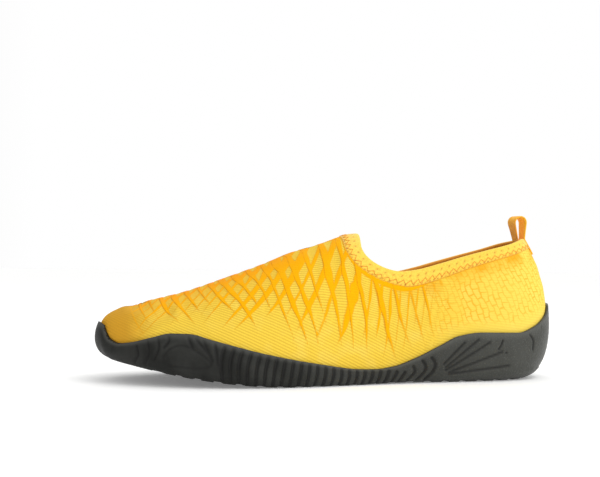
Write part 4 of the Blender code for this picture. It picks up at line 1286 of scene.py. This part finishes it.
# %% Skin of the sole
SOLE_STATIONS = 680           # on each side
SIDE_ROWS = 36
TREAD_COLUMNS = 40
LIP_SHARE = 0.16              # upper part of the side that gets a painted highlight
LEDGE_TOP = 6.8               # mm above the tread
SERRATION = 0.00055           # small steps up the back of the heel
SERRATION_PITCH = 0.0030
SCALLOP = 0.00035             # notches along the lower corner
SCALLOP_PITCH = 0.0048        # half of it ahead of the ball
SCALLOP_CHANGE = 0.42         # way from the toe at which the notches grow
CHANNEL_SWING = 0.0016        # how far the grooves of the tread swing to and fro
CHANNEL_WAVE = 0.022
TREAD_BEVEL = 0.0010


def lug_pattern(x, y):
    """Share of the tread's depth that is cut away: wavy grooves that run across the sole."""
    wave = CHANNEL_SWING * np.sin(2 * math.pi * y / CHANNEL_WAVE)
    across_phase = (x + wave) / LUG_PITCH
    away = np.abs(across_phase - np.round(across_phase - 0.5) - 0.5) * LUG_PITCH
    half = (LUG_PITCH - LUG_LENGTH) / 2
    return smooth_step((half + TREAD_BEVEL / 2 - away) / TREAD_BEVEL)


def make_fine_outsole(material):
    ways = np.linspace(0.0, 1.0, SOLE_STATIONS + 1)
    ring = ring_of(ways)
    way = way_of(ring)
    lateral = is_lateral(ring)
    level = side_level(ring)
    even = np.linspace(0.0, 1.0, SIDE_ROWS + 1)
    v = 0.35 * smooth_step(even) + 0.65 * even
    points, out = sole_side(ring[None, :], v[:, None], level[None, :])
    base_z = points[..., 2].copy()
    low_z = base_z[-1]
    ways_grid = np.broadcast_to(way, base_z.shape)
    depth = np.where(lateral[None, :], sole_grooves(ways_grid, base_z, True),
                     sole_grooves(ways_grid, base_z, False))
    keep = smooth_step(v / 0.10)[:, None] * (1 - smooth_step((v - 0.93) / 0.07))[:, None]
    depth = depth * keep
    heel_zone = smooth_step((way - 0.66) / 0.03) * smooth_step((0.99 - way) / 0.05)
    over_ground = (base_z - low_z) * 1000
    step = smooth_step((LEDGE_TOP - over_ground) / 0.5) * smooth_step(over_ground / 3.5)
    ledge = LEDGE * heel_zone[None, :] * step
    back = smooth_step((way - 0.93) / 0.05)[None, :] * smooth_step((over_ground - 12) / 5)
    back = back * smooth_step(v / 0.18)[:, None]
    serration = SERRATION * back * (0.5 - 0.5 * np.cos(2 * math.pi * base_z / SERRATION_PITCH))
    scallop_pitch = np.where(way < SCALLOP_CHANGE, SCALLOP_PITCH / 2, SCALLOP_PITCH)
    scallop = SCALLOP * (0.5 + 0.5 * np.cos(2 * math.pi * way * HALF_ROUND / scallop_pitch))
    scallop = scallop[None, :] * smooth_step((v - 0.90) / 0.07)[:, None]
    scallop = scallop * (1 - smooth_step((way - 0.70) / 0.05))[None, :]
    move = ledge - depth - serration - scallop
    points[..., :2] += out * move[..., None]
    ground = points[-1]
    tread = TREAD * lug_pattern(ground[:, 0], ground[:, 1])
    rise = smooth_step((v - 0.90) / 0.10)[:, None]
    points[..., 2] += rise * tread[None, :]
    inner = []
    for share in (1.0, 0.8, 0.6, 0.4, 0.2, 0.0):
        room = GAP + HIDDEN_ROOM * (1 - share)
        inner.append(upper_offset(ring, level * share, np.full(ring.shape, room)))
    inner[-1][:, 2] = bed_height(inner[-1][:, 0], inner[-1][:, 1])
    inner = np.array(inner)
    skin = FineMesh()
    closed = np.concatenate((points, points[:, :1]), axis=1)
    cavity = np.concatenate((depth, depth[:, :1]), axis=1) * 1000
    lip = np.broadcast_to((1 - smooth_step(v / LIP_SHARE))[:, None], cavity.shape)
    skin.grid(closed[::-1], cavity=cavity[::-1], lip=lip[::-1])
    skin.grid(np.concatenate((inner, inner[:, :1]), axis=1))
    skin.grid(np.array([closed[0], np.concatenate((inner[0], inner[0][:1]))]))
    rows = []
    half = len(ring) // 2
    plan = points[-1]
    for i in range(half + 1):
        one = plan[i]
        other = plan[(len(ring) - i) % len(ring)]
        share = np.linspace(0.0, 1.0, TREAD_COLUMNS + 1)[:, None]
        line = one[None, :] * (1 - share) + other[None, :] * share
        z = tread_height(line[:, 0], line[:, 1]) + TREAD * lug_pattern(line[:, 0], line[:, 1])
        blend_in = np.clip(np.minimum(share, 1 - share)[:, 0] * TREAD_COLUMNS, 0.0, 1.0)
        line[:, 2] = np.where(blend_in < 0.5, line[:, 2], z)
        rows.append(line)
    skin.grid(rows)
    skin.grid(across(inner[-1], bed_height, np.zeros(half + 1), 5))
    return skin.finish("rubber_sole_skin", material)


def ring_of(ways):
    """Ring positions of stations given by their way, lateral side first."""
    return np.concatenate((ways / 2, 1 - ways[-2:0:-1] / 2))


def across(ring_points, height, extra, count):
    """Rows across the foot between the two sides of a ring, with heights from a function."""
    total = len(ring_points)
    rows = []
    for i in range(total // 2 + 1):
        one = ring_points[i]
        other = ring_points[(total - i) % total]
        share = np.linspace(0.0, 1.0, count + 1)[:, None]
        plan = one[None, :2] * (1 - share) + other[None, :2] * share
        z = height(plan[:, 0], plan[:, 1]) + extra[i]
        rows.append(np.concatenate((plan, z[:, None]), axis=1))
    return rows


print("stations round the sole:", 2 * SOLE_STATIONS)

# %% [markdown]
# ### Rubber material
#
# Moulded ethylene-vinyl-acetate foam rubber with a finely pitted skin. It is darkest and most matt
# at the toe, and greyer with pale specks on the heel, where the grey is partly painted sheen.
# Painted shade darkens its grooves and a painted highlight runs along its top edge. A scanned
# texture would repeat itself, so three noises of known size make its specks, pores and dust.

# %% Rubber material
RUBBER_FORE = "#10110D"
# grey of the heel, lightened in part as painted sheen
RUBBER_HEEL_GREY_AND_SHEEN = "#3E3F3A"
# painted shade in the grooves of the sole's side
RUBBER_GROOVE_SHADE = "#11110F"
RUBBER_SPECK = "#7A7B76"
RUBBER_DUST = "#5A5B57"
# painted highlight along the top edge of the sole's side
RUBBER_LIP_HIGHLIGHT = "#6E6F6A"
SPECK_SIZE = 0.667            # mm, pale specks of the foam's skin
PORE_SIZE = 1.61              # mm, drawn coarser than the real pores so that they show
DUST_SIZE = 16.7              # mm, clouds of dust


def rubber_material():
    material, tree, shader, add = new_material("moulded_eva_rubber")
    place = add("TexCoord", out="Object")
    x = add("SeparateXYZ", Vector=place, out="X")
    to_heel = add("MapRange", x, From_Min=0.17, From_Max=-0.02)
    speck = add("TexNoise", Vector=place, Scale=scale_for(SPECK_SIZE), Detail=3.0)
    cloud = add("TexNoise", Vector=place, Scale=scale_for(DUST_SIZE), Detail=4.0)
    pores = add("TexNoise", Vector=place, Scale=scale_for(PORE_SIZE), Detail=4.0)
    cavity = add("Attribute", attribute_name="cavity", out="Fac")
    lip = add("Attribute", attribute_name="lip", out="Fac")

    specks = add("MapRange", speck, From_Min=0.56, From_Max=0.72, To_Max=add("Math", to_heel, 0.30, **TIMES))
    dust = add("MapRange", cloud, From_Min=0.40, From_Max=0.75, To_Max=0.22)
    painted_groove_shade = add("MapRange", cavity, From_Min=0.08, From_Max=0.7, To_Max=0.80)
    painted_lip_highlight = add("Math", lip, 0.30, **TIMES)
    colour = add("Mix", to_heel, i6=RUBBER_FORE, i7=RUBBER_HEEL_GREY_AND_SHEEN, **COLOURS)
    for share, tint in ((specks, RUBBER_SPECK), (dust, RUBBER_DUST), (painted_groove_shade, RUBBER_GROOVE_SHADE),
                        (painted_lip_highlight, RUBBER_LIP_HIGHLIGHT)):
        colour = add("Mix", share, i6=colour, i7=tint, **COLOURS)
    polish = add("MapRange", x, From_Min=0.07, From_Max=0.02, To_Min=0.58, To_Max=0.42)
    relief = add("Math", pores, add("Math", to_heel, 2.2, **TIMES), speck, **TIMES_PLUS)
    bump = add("Bump", Strength=0.7, Distance=0.00026, Height=relief)
    set_inputs(tree, shader, {"Base Color": colour, "Normal": bump, "Roughness": polish,
                              "Specular IOR Level": 0.26})
    return material


rubber = rubber_material()
sole_skin = make_fine_outsole(rubber)
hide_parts("outsole")
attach(sole_skin, "root")

print("the sole is dressed as", rubber.name)

# %% [markdown]
# ## The collar band
#
# The knit's raw edge is folded into a soft band and held by a zigzag seam. The band stands a little
# proud of the upper, and a row of small pinpricks runs along its middle. A round tube along the rim
# would be simpler, but the real band is flat, and wider at the throat than at the heel. So it is
# swept between two lines, its seam and its rim.

# %% Collar band
BAND_COLUMNS = 620
BAND_ROWS = 22
DIMPLE_PITCH = 0.0048
DIMPLE_DEPTH = 0.00022
DIMPLE_UP = 0.60              # place across the band, from its seam (0) to its rim (1)
DIMPLE_HALF = 0.0006
DIMPLE_ROW_HALF = 0.0007
BAND_WIDTH = 0.009            # of the band half way along, for the row of pinpricks
CHAIN_PITCH = 0.0023          # of the stitches along the seam
CHAIN_HALF = 0.00055
CHAIN_UP = 0.08
CHAIN_BAND = 0.055
BAND_SWELL = 0.00016          # how far the fold swells in its middle


def band_lines(lateral, columns):
    seam = spread(collar_contour(lateral, 1.0, 0.0), columns)
    rim = spread(collar_contour(lateral, 0.0, 0.0), columns)
    return seam, rim


def make_fine_binding(material):
    skin = FineMesh()
    half_thick = WALL / 2 + BINDING_PROUD
    turn = np.linspace(0.0, math.pi, 9)
    for lateral in (True, False):
        seam, rim = band_lines(lateral, BAND_COLUMNS)
        outer_up = np.concatenate(([0.0, 0.03], np.linspace(0.07, 0.86, BAND_ROWS)))
        outer_face = np.concatenate(([0.72, 0.93], np.ones(BAND_ROWS)))
        lip_up = 0.86 + 0.14 * np.sin(turn[1:-1])
        lip_face = np.cos(turn[1:-1])
        inner_up = np.concatenate((np.linspace(0.86, 0.07, 8), [0.03, 0.0]))
        inner_face = -np.concatenate((np.ones(8), [0.93, 0.72]))
        ups = np.concatenate((outer_up, lip_up, inner_up, [0.0]))
        faces = np.concatenate((outer_face, lip_face, inner_face, [0.72]))
        middle = upper_face(rim[:, 0], rim[:, 1])
        along = np.concatenate(([0.0], np.cumsum(np.linalg.norm(np.diff(middle, axis=0), axis=1))))
        rows = []
        dots = []
        chains = []
        for up, face in zip(ups, faces):
            line = seam + (rim - seam) * up
            out = np.full(len(line), -WALL / 2 + face * half_thick)
            row_dots = np.zeros(len(line))
            link = along / CHAIN_PITCH
            stitch = np.exp(-((link - np.round(link)) * CHAIN_PITCH / CHAIN_HALF) ** 2) * max(face, 0.0)
            tight = 0.4 + 0.6 * hashed(np.round(link), 11)
            chains.append(stitch * tight * math.exp(-((up - CHAIN_UP) / CHAIN_BAND) ** 2))
            if face > 0.99:
                near_row = np.exp(-((up - DIMPLE_UP) * BAND_WIDTH / DIMPLE_ROW_HALF) ** 2)
                cell = along / DIMPLE_PITCH
                near_dot = np.exp(-((cell - np.round(cell)) * DIMPLE_PITCH / DIMPLE_HALF) ** 2)
                row_dots = near_row * near_dot
                soft = BAND_SWELL * (np.sin(math.pi * up) ** 2)
                out = out - DIMPLE_DEPTH * row_dots + soft
            rows.append(upper_offset(line[:, 0], line[:, 1], out))
            dots.append(row_dots)
        ups_grid = np.broadcast_to(ups[:, None], (len(ups), BAND_COLUMNS))
        faces_grid = np.broadcast_to(faces[:, None], (len(ups), BAND_COLUMNS))
        skin.grid(rows, dots=np.array(dots), chain=np.array(chains), band_up=ups_grid, band_face=faces_grid)
    return skin.finish("collar_band_skin", material)


print("columns along each side of the band:", BAND_COLUMNS)

# %% [markdown]
# ### Band material
#
# The folded knit is smoother than the upper, in one warm yellow with an orange lining. Its pinpricks
# and small stitches could be modelled, but they are under a millimetre wide, so values on the
# points darken the cloth where they are; in the pinpricks this is painted shade.

# %% Band material
BAND_CLOTH = "#FDD54A"
BAND_FOLD = "#F2B42E"
BAND_LINING = "#D98A1E"
BAND_SEAM = "#EFA420"
# painted shade in the pinprick dents
BAND_PRICK_SHADE = "#CE9428"
BAND_STITCH = "#BC6F1C"
BAND_GRAIN = 1.11             # mm, loops of the folded cloth


def band_material():
    material, tree, shader, add = new_material("folded_knit_band")
    place = add("TexCoord", out="Object")
    grain = add("TexNoise", Vector=place, Scale=scale_for(BAND_GRAIN), Detail=3.0)
    painted_prick_shade = add("Attribute", attribute_name="dots", out="Fac")
    chain = add("Attribute", attribute_name="chain", out="Fac")
    up = add("Attribute", attribute_name="band_up", out="Fac")
    face = add("Attribute", attribute_name="band_face", out="Fac")
    mottled = add("MapRange", grain, From_Min=0.42, From_Max=0.68, To_Max=0.55)
    inside = add("MapRange", face, From_Min=0.1, From_Max=-0.4)
    seam = add("MapRange", up, From_Min=0.08, From_Max=0.0, To_Max=0.55)
    colour = BAND_CLOTH
    for share, tint in ((mottled, BAND_FOLD), (inside, BAND_LINING), (seam, BAND_SEAM),
                        (painted_prick_shade, BAND_PRICK_SHADE), (chain, BAND_STITCH)):
        colour = add("Mix", share, i6=colour, i7=tint, **COLOURS)
    bump = add("Bump", Strength=0.5, Distance=0.0003, Height=grain)
    set_inputs(tree, shader, {"Base Color": colour, "Normal": bump, "Roughness": 0.8, "Sheen Weight": 0.2})
    return material


band_cloth = band_material()
band_skin = make_fine_binding(band_cloth)
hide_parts("collar_binding")
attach(band_skin, "root")

print("the band is dressed as", band_cloth.name)

# %% [markdown]
# ### Zigzag seam
#
# A sewing machine closes the fold with a zigzag of polyester thread. A dark line on the band could
# stand for it, but thread catches the light. So it is a thin tube that runs over the band's
# surface, sunk by half its thickness.

# %% Zigzag seam
STITCH_LENGTH = 0.0021
ZIGZAG_UP = (0.10, 0.36)      # the seam's two edges across the band
THREAD = 0.00046              # metres, as thick as it must be to show
THREAD_TWIST = 0.40           # mm
THREAD_DARK = "#E08E1C"
THREAD_LIGHT = "#F5AE30"


def tube(path, radius, sides, skin, **values):
    """Sweeps a round section along a path of points."""
    path = np.asarray(path)
    forward = np.gradient(path, axis=0)
    forward /= np.linalg.norm(forward, axis=1, keepdims=True)
    not_upright = np.abs(forward[:, 2:3]) < 0.9
    helper = np.where(not_upright, np.array([[0.0, 0.0, 1.0]]), np.array([[1.0, 0.0, 0.0]]))
    one = np.cross(forward, helper)
    one /= np.linalg.norm(one, axis=1, keepdims=True)
    two = np.cross(forward, one)
    angles = np.linspace(0, 2 * math.pi, sides + 1)
    rows = [path + radius * (one * math.cos(a) + two * math.sin(a)) for a in angles]
    skin.grid(rows, **values)
    for end in (0, -1):
        middle = np.broadcast_to(path[end], (len(rows), 3))
        skin.grid([[row[end] for row in rows], middle], **values)


def make_zigzag(material):
    skin = FineMesh()
    for lateral in (True, False):
        seam, rim = band_lines(lateral, 1200)
        middle = upper_face(rim[:, 0], rim[:, 1])
        along = np.concatenate(([0.0], np.cumsum(np.linalg.norm(np.diff(middle, axis=0), axis=1))))
        count = int(along[-1] / STITCH_LENGTH)
        path = []
        for i in range(4 * count + 1):
            place = i / (4 * count) * along[-1]
            swing = abs((i / 4) % 2 - 1)
            up = ZIGZAG_UP[0] + (ZIGZAG_UP[1] - ZIGZAG_UP[0]) * swing
            s0 = np.interp(place, along, seam[:, 0]) * (1 - up) + np.interp(place, along, rim[:, 0]) * up
            t0 = np.interp(place, along, seam[:, 1]) * (1 - up) + np.interp(place, along, rim[:, 1]) * up
            path.append((s0, t0))
        path = np.array(path)
        lift = np.full(len(path), BINDING_PROUD + BAND_SWELL)
        points = upper_offset(path[:, 0], path[:, 1], lift)
        tube(points, THREAD / 2, 6, skin)
    return skin.finish("collar_zigzag_thread", material)


def thread_material():
    material, tree, shader, add = new_material("polyester_thread")
    place = add("TexCoord", out="Object")
    grain = add("TexNoise", Vector=place, Scale=scale_for(THREAD_TWIST))
    colour = add("Mix", grain, i6=THREAD_DARK, i7=THREAD_LIGHT, **COLOURS)
    set_inputs(tree, shader, {"Base Color": colour, "Roughness": 0.55})
    return material


thread = thread_material()
zigzag = make_zigzag(thread)
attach(zigzag, "root")

print("length of a stitch, mm:", 1000 * STITCH_LENGTH)

# %% [markdown]
# ## The pull loop
#
# A woven ribbon is sewn inside and outside the heel, and its free part makes a twisted drop-shaped
# loop for a finger. A curve with a flat profile would choose its own twist. So the ribbon's two
# faces are placed point by point along its middle line: it keeps its width as it bends, and its
# edges are rolled thin.

# %% Pull loop
RIBBON_ROWS = 150
RIBBON_COLUMNS = 25
SELVEDGE_THINNING = 0.55      # the ribbon's edges are rolled thin


def heel_line(drop, out):
    """Point on the heel's middle line, a drop below the collar edge, moved out by a distance."""
    rim = collar_contour(True, 0.0, 0.0)[-1]
    levels = np.linspace(0.2, rim[1], 160)
    points = upper_face(np.full(levels.shape, 0.5), levels)
    lengths = np.concatenate(([0.0], np.cumsum(np.linalg.norm(np.diff(points, axis=0), axis=1))))
    t = np.interp(lengths[-1] - drop, lengths, levels)
    return upper_offset(np.array([0.5]), np.array([t]), np.array([out]))[0]


def loop_path():
    """Middle line of the ribbon, with how closely it clings to the heel."""
    middle = WALL / 2 + BINDING_PROUD + RIBBON_ROOM + RIBBON_THICKNESS / 2
    rim = heel_line(0.0, -WALL / 2)
    up = np.array([math.sin(LOOP_LEAN), 0.0, math.cos(LOOP_LEAN)])
    back = np.array([-up[2], 0.0, up[0]])
    path = [(heel_line(drop, -WALL / 2 - middle), 1.0) for drop in np.linspace(TAB_INSIDE, LOOP_START, 14)]
    radius = LOOP_WIDTH / 2
    bow = LOOP_RISE - radius
    reach = math.hypot(middle, bow - LOOP_START)
    tangent = math.atan2(LOOP_START - bow, middle) + math.acos(radius / reach)
    turns = 48
    bend = []
    for i in range(turns + 1):
        angle = math.pi - tangent + (2 * tangent - math.pi) * i / turns
        bend.append((rim + back * radius * math.cos(angle) + up * (bow + radius * math.sin(angle)), 0.0))
    outside = heel_line(LOOP_START, -WALL / 2 + middle)
    path.append((path[-1][0] * (1 - LOOP_SQUARE) + bend[0][0] * LOOP_SQUARE, 1 - LOOP_SQUARE))
    path += bend
    path.append((outside * (1 - LOOP_SQUARE) + bend[-1][0] * LOOP_SQUARE, 1 - LOOP_SQUARE))
    path += [(heel_line(drop, -WALL / 2 + middle), 1.0) for drop in np.linspace(LOOP_START, TAB_OUTSIDE, 18)]
    return np.array([p for p, _ in path]), np.array([c for _, c in path]), rim


def make_fine_loop(material):
    centres, cling, rim = loop_path()
    lengths = np.concatenate(([0.0], np.cumsum(np.linalg.norm(np.diff(centres, axis=0), axis=1))))
    even = np.linspace(0.0, lengths[-1], RIBBON_ROWS)
    cling = np.interp(even, lengths, cling)
    centres = np.stack([np.interp(even, lengths, centres[:, i]) for i in range(3)], axis=-1)
    for _ in range(3):
        centres[1:-1] = (centres[:-2] + 2 * centres[1:-1] + centres[2:]) / 4
    lift = np.clip((centres[:, 2] - rim[2]) / LOOP_RISE, 0.0, 1.0)
    tangents = np.gradient(centres, axis=0)
    tangents /= np.linalg.norm(tangents, axis=1, keepdims=True)
    thick = np.stack((-tangents[:, 2], np.zeros(len(even)), tangents[:, 0]), axis=-1)
    turn = LOOP_TWIST * smooth_step(lift)
    one_face = np.linspace(-1, 1, RIBBON_COLUMNS)
    wide = np.concatenate((one_face, -one_face))
    face = np.concatenate((np.ones(RIBBON_COLUMNS), -np.ones(RIBBON_COLUMNS)))
    selvedge = 1 - SELVEDGE_THINNING * smooth_step((np.abs(wide) - 0.90) / 0.10)
    rows = []
    for w, f, thin in zip(np.append(wide, wide[0]), np.append(face, 1.0), np.append(selvedge, selvedge[0])):
        sideways = w * RIBBON_WIDTH / 2
        points = centres + thick * (f * thin * RIBBON_THICKNESS / 2)
        points[:, 0] += w * w * RIBBON_WIDTH ** 2 / 8 / TAB_CURVE * cling
        points[:, 0] += sideways * np.sin(turn)
        points[:, 1] += sideways * np.cos(turn)
        rows.append(points)
    skin = FineMesh()
    along = np.broadcast_to(even * 1000, (len(rows), len(even)))
    across_ribbon = np.broadcast_to(np.append(wide, wide[0])[:, None] * RIBBON_WIDTH * 500, along.shape)
    skin.grid(rows, ribbon_along=along, ribbon_across=across_ribbon)
    for end in (0, -1):
        ring = [row[end] for row in rows[:-1]]
        skin.grid([ring[:RIBBON_COLUMNS], ring[:RIBBON_COLUMNS - 1:-1]])
    return skin.finish("pull_ribbon", material)


print("ribbon, mm:", 1000 * RIBBON_WIDTH, "wide and", 1000 * RIBBON_THICKNESS, "thick")

# %% [markdown]
# ### Ribbon material
#
# Woven polyester ribbon, deeper in colour on the run inside the heel as painted shade, and brighter
# outside as painted light. Its threads lie about half a millimetre apart. Modelled threads would cost
# many triangles for little, so two waves, along and across the ribbon, weave them in relief and in
# painted shade between the threads.

# %% Ribbon material
# one ribbon: painted shade on the run inside the heel, painted light on the run outside
RIBBON_SHADED_RUN = "#FFAA1C"
RIBBON_LIT_RUN = "#FFCB24"
# painted shade between the threads of the weave
RIBBON_THREAD_SHADE = "#EE9412"
WEFT_SCALE = 0.62             # of the wave, for threads 0.51 mm apart
WARP_SCALE = 0.50             # of the wave, for threads 0.63 mm apart


def ribbon_material():
    material, tree, shader, add = new_material("woven_polyester_ribbon")
    along = add("Attribute", attribute_name="ribbon_along", out="Fac")
    over = add("Attribute", attribute_name="ribbon_across", out="Fac")
    both = add("CombineXYZ", along, over)
    weft = add("TexWave", Vector=both, Scale=WEFT_SCALE, Distortion=0.4, bands_direction="X", out="Fac")
    warp = add("TexWave", Vector=both, Scale=WARP_SCALE, Distortion=0.3, bands_direction="Y", out="Fac")
    weave = add("Math", weft, warp, **TIMES)
    lit_run_share = add("MapRange", along, From_Min=18.0, From_Max=30.0)
    # painted shade where the weave sinks between threads
    shade = add("MapRange", weave, From_Min=0.35, From_Max=0.0, To_Max=0.26)
    colour = add("Mix", lit_run_share, i6=RIBBON_SHADED_RUN, i7=RIBBON_LIT_RUN, **COLOURS)
    colour = add("Mix", shade, i6=colour, i7=RIBBON_THREAD_SHADE, **COLOURS)
    bump = add("Bump", Strength=0.5, Distance=0.0002, Height=weave)
    set_inputs(tree, shader, {"Base Color": colour, "Normal": bump, "Roughness": 0.6})
    return material


ribbon = ribbon_material()
pull_ribbon = make_fine_loop(ribbon)
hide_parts("pull_loop")
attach(pull_ribbon, "root")

print("the loop is dressed as", ribbon.name)

# %% [markdown]
# ## The footbed
#
# Inside lies a thin loose footbed of foam under a dark mesh cloth. Its rim is rounded and its face
# is softly quilted. A flat slab would do for a piece so deep in the shoe, but it is seen from above
# through the wide collar.

# %% Footbed
FOOTBED_ROWS = 240
FOOTBED_COLUMNS = 40
QUILT_PITCH = 9.0             # mm
QUILT_DEPTH = 0.00018
QUILT_TOP = 0.00025
RIM_ROUNDING = 0.0009


def make_fine_insole(material):
    ways = np.linspace(0.0, 1.0, FOOTBED_ROWS + 1)
    ring = ring_of(ways)
    edge = upper_offset(ring, np.zeros(ring.shape), np.full(ring.shape, -WALL - 1.5 * GAP))
    half = len(ring) // 2
    low = np.array(across(edge, bed_height, np.full(half + 1, GAP), FOOTBED_COLUMNS))
    high = np.array(across(edge, bed_height, np.full(half + 1, GAP + INSOLE), FOOTBED_COLUMNS))
    share = np.linspace(0.0, 1.0, FOOTBED_COLUMNS + 1)[None, :]
    rim = 1 - smooth_step(np.minimum(share, 1 - share) / 0.06)
    ends = np.minimum(np.linspace(0, 1, half + 1), np.linspace(1, 0, half + 1))[:, None]
    rim = np.maximum(rim, 1 - smooth_step(ends / 0.02))
    high[..., 2] -= RIM_ROUNDING * rim
    x = high[..., 0] * 1000
    y = high[..., 1] * 1000
    quilt = np.cos(2 * math.pi * x / QUILT_PITCH) + np.cos(2 * math.pi * y / QUILT_PITCH)
    high[..., 2] += np.minimum(QUILT_DEPTH * quilt * (1 - rim), QUILT_TOP) - 2 * QUILT_DEPTH
    skin = FineMesh()
    skin.grid(low)
    skin.grid(high)
    for side in (0, -1):
        skin.grid(np.array([low[:, side], high[:, side]]))
    return skin.finish("footbed", material)


print("distance of the quilting, mm:", QUILT_PITCH)

# %% [markdown]
# ### Footbed material
#
# The cover is a mesh cloth with a hole about every millimetre and a half. Real holes would make
# thousands of tiny faces, so the cells of a texture tint and dent the foam instead.

# %% Footbed material
FOAM_DARK = "#17181A"
FOAM_LIGHT = "#3A3C40"
MESH_CELL = 1.43              # mm, one hole of the mesh cloth


def footbed_material():
    material, tree, shader, add = new_material("foam_under_mesh_cloth")
    place = add("TexCoord", out="Object")
    cells = add("TexVoronoi", Vector=place, Scale=scale_for(MESH_CELL))
    colour = add("Mix", cells, i6=FOAM_DARK, i7=FOAM_LIGHT, **COLOURS)
    bump = add("Bump", Strength=0.6, Distance=0.0003, Height=cells)
    set_inputs(tree, shader, {"Base Color": colour, "Normal": bump, "Roughness": 0.9})
    return material


footbed = make_fine_insole(footbed_material())
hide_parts("insole")
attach(footbed, "root")

print("the footbed is dressed as", footbed.data.materials[0].name)

# %% [markdown]
# ## Studio
#
# The shoe stands on white paper in the even light of a catalogue picture. Three lamps alone would
# leave hard shadows. So most of the light comes from a white sky, which is weaker ahead of the toe
# to keep the shoe's form, and the lamps only model it. The paper glows a little to stay white.

# %% Floor and lights
PAPER_GLOW = 0.17             # the paper is lit a little from behind
PAPER_GRAIN = 3.33            # mm
FLOOR_HALF = 6.0              # metres
LIGHT_SHAPE = 0.6             # height of a light against its width
PAPER_DARK = "#F4F4F3"
PAPER_LIGHT = "#F8F8F7"
SKY_AHEAD = 0.48              # strength of the sky ahead of the toe, 1 behind the shoe


def add_floor():
    mesh = bmesh.new()
    bmesh.ops.create_grid(mesh, x_segments=8, y_segments=8, size=FLOOR_HALF)
    data = bpy.data.meshes.new("studio_floor")
    mesh.to_mesh(data)
    mesh.free()
    floor = bpy.data.objects.new("studio_floor", data)
    bpy.context.scene.collection.objects.link(floor)
    material, tree, shader, add = new_material("matt_white_paper")
    place = add("TexCoord", out="Object")
    grain = add("TexNoise", Vector=place, Scale=scale_for(PAPER_GRAIN))
    colour = add("Mix", grain, i6=PAPER_DARK, i7=PAPER_LIGHT, **COLOURS)
    set_inputs(tree, shader, {"Base Color": colour, "Roughness": 0.9, "Emission Color": "#FFFFFF",
                              "Emission Strength": PAPER_GLOW})
    data.materials.append(material)
    return floor


def add_light(name, place, target, width, power):
    data = bpy.data.lights.new(name, "AREA")
    data.shape = "RECTANGLE"
    data.size = width
    data.size_y = width * LIGHT_SHAPE
    data.energy = power
    light = bpy.data.objects.new(name, data)
    bpy.context.scene.collection.objects.link(light)
    away = unit(np.asarray(place) - np.asarray(target))
    side = unit(np.cross((0.0, 0.0, 1.0), away))
    top = np.cross(away, side)
    matrix = np.eye(4)
    matrix[:3, 0] = side
    matrix[:3, 1] = top
    matrix[:3, 2] = away
    matrix[:3, 3] = place
    light.matrix_world = Matrix(matrix.tolist())


add_floor()
SHOE_MIDDLE = (0.10, 0.0, 0.04)
# Lights: name, place, width in metres and power in watts.
LIGHTS = (
    ("key", (-0.30, 0.35, 1.00), 0.8, 2.8),
    ("fill", (-0.60, 1.20, 0.55), 1.2, 1.6),
    ("rim", (-0.10, -0.9, 0.80), 1.0, 1.2),
)
for name, place, width, power in LIGHTS:
    add_light(name, place, SHOE_MIDDLE, width, power)
world = bpy.data.worlds.new("studio")
world.use_nodes = True
sky = world.node_tree
direction = add_node(sky, "TexCoord", out="Generated")
toward_toe = add_node(sky, "SeparateXYZ", direction, out="X")
soft_side = add_node(sky, "MapRange", toward_toe, From_Min=0.0, To_Min=1.0, To_Max=SKY_AHEAD)
set_inputs(sky, sky.nodes["Background"], {"Strength": soft_side, "Color": "#FFFFFF"})
bpy.context.scene.world = world
bpy.context.scene.view_settings.view_transform = "Standard"

print("lamps:", len(LIGHTS), "and a sky that falls to", SKY_AHEAD)
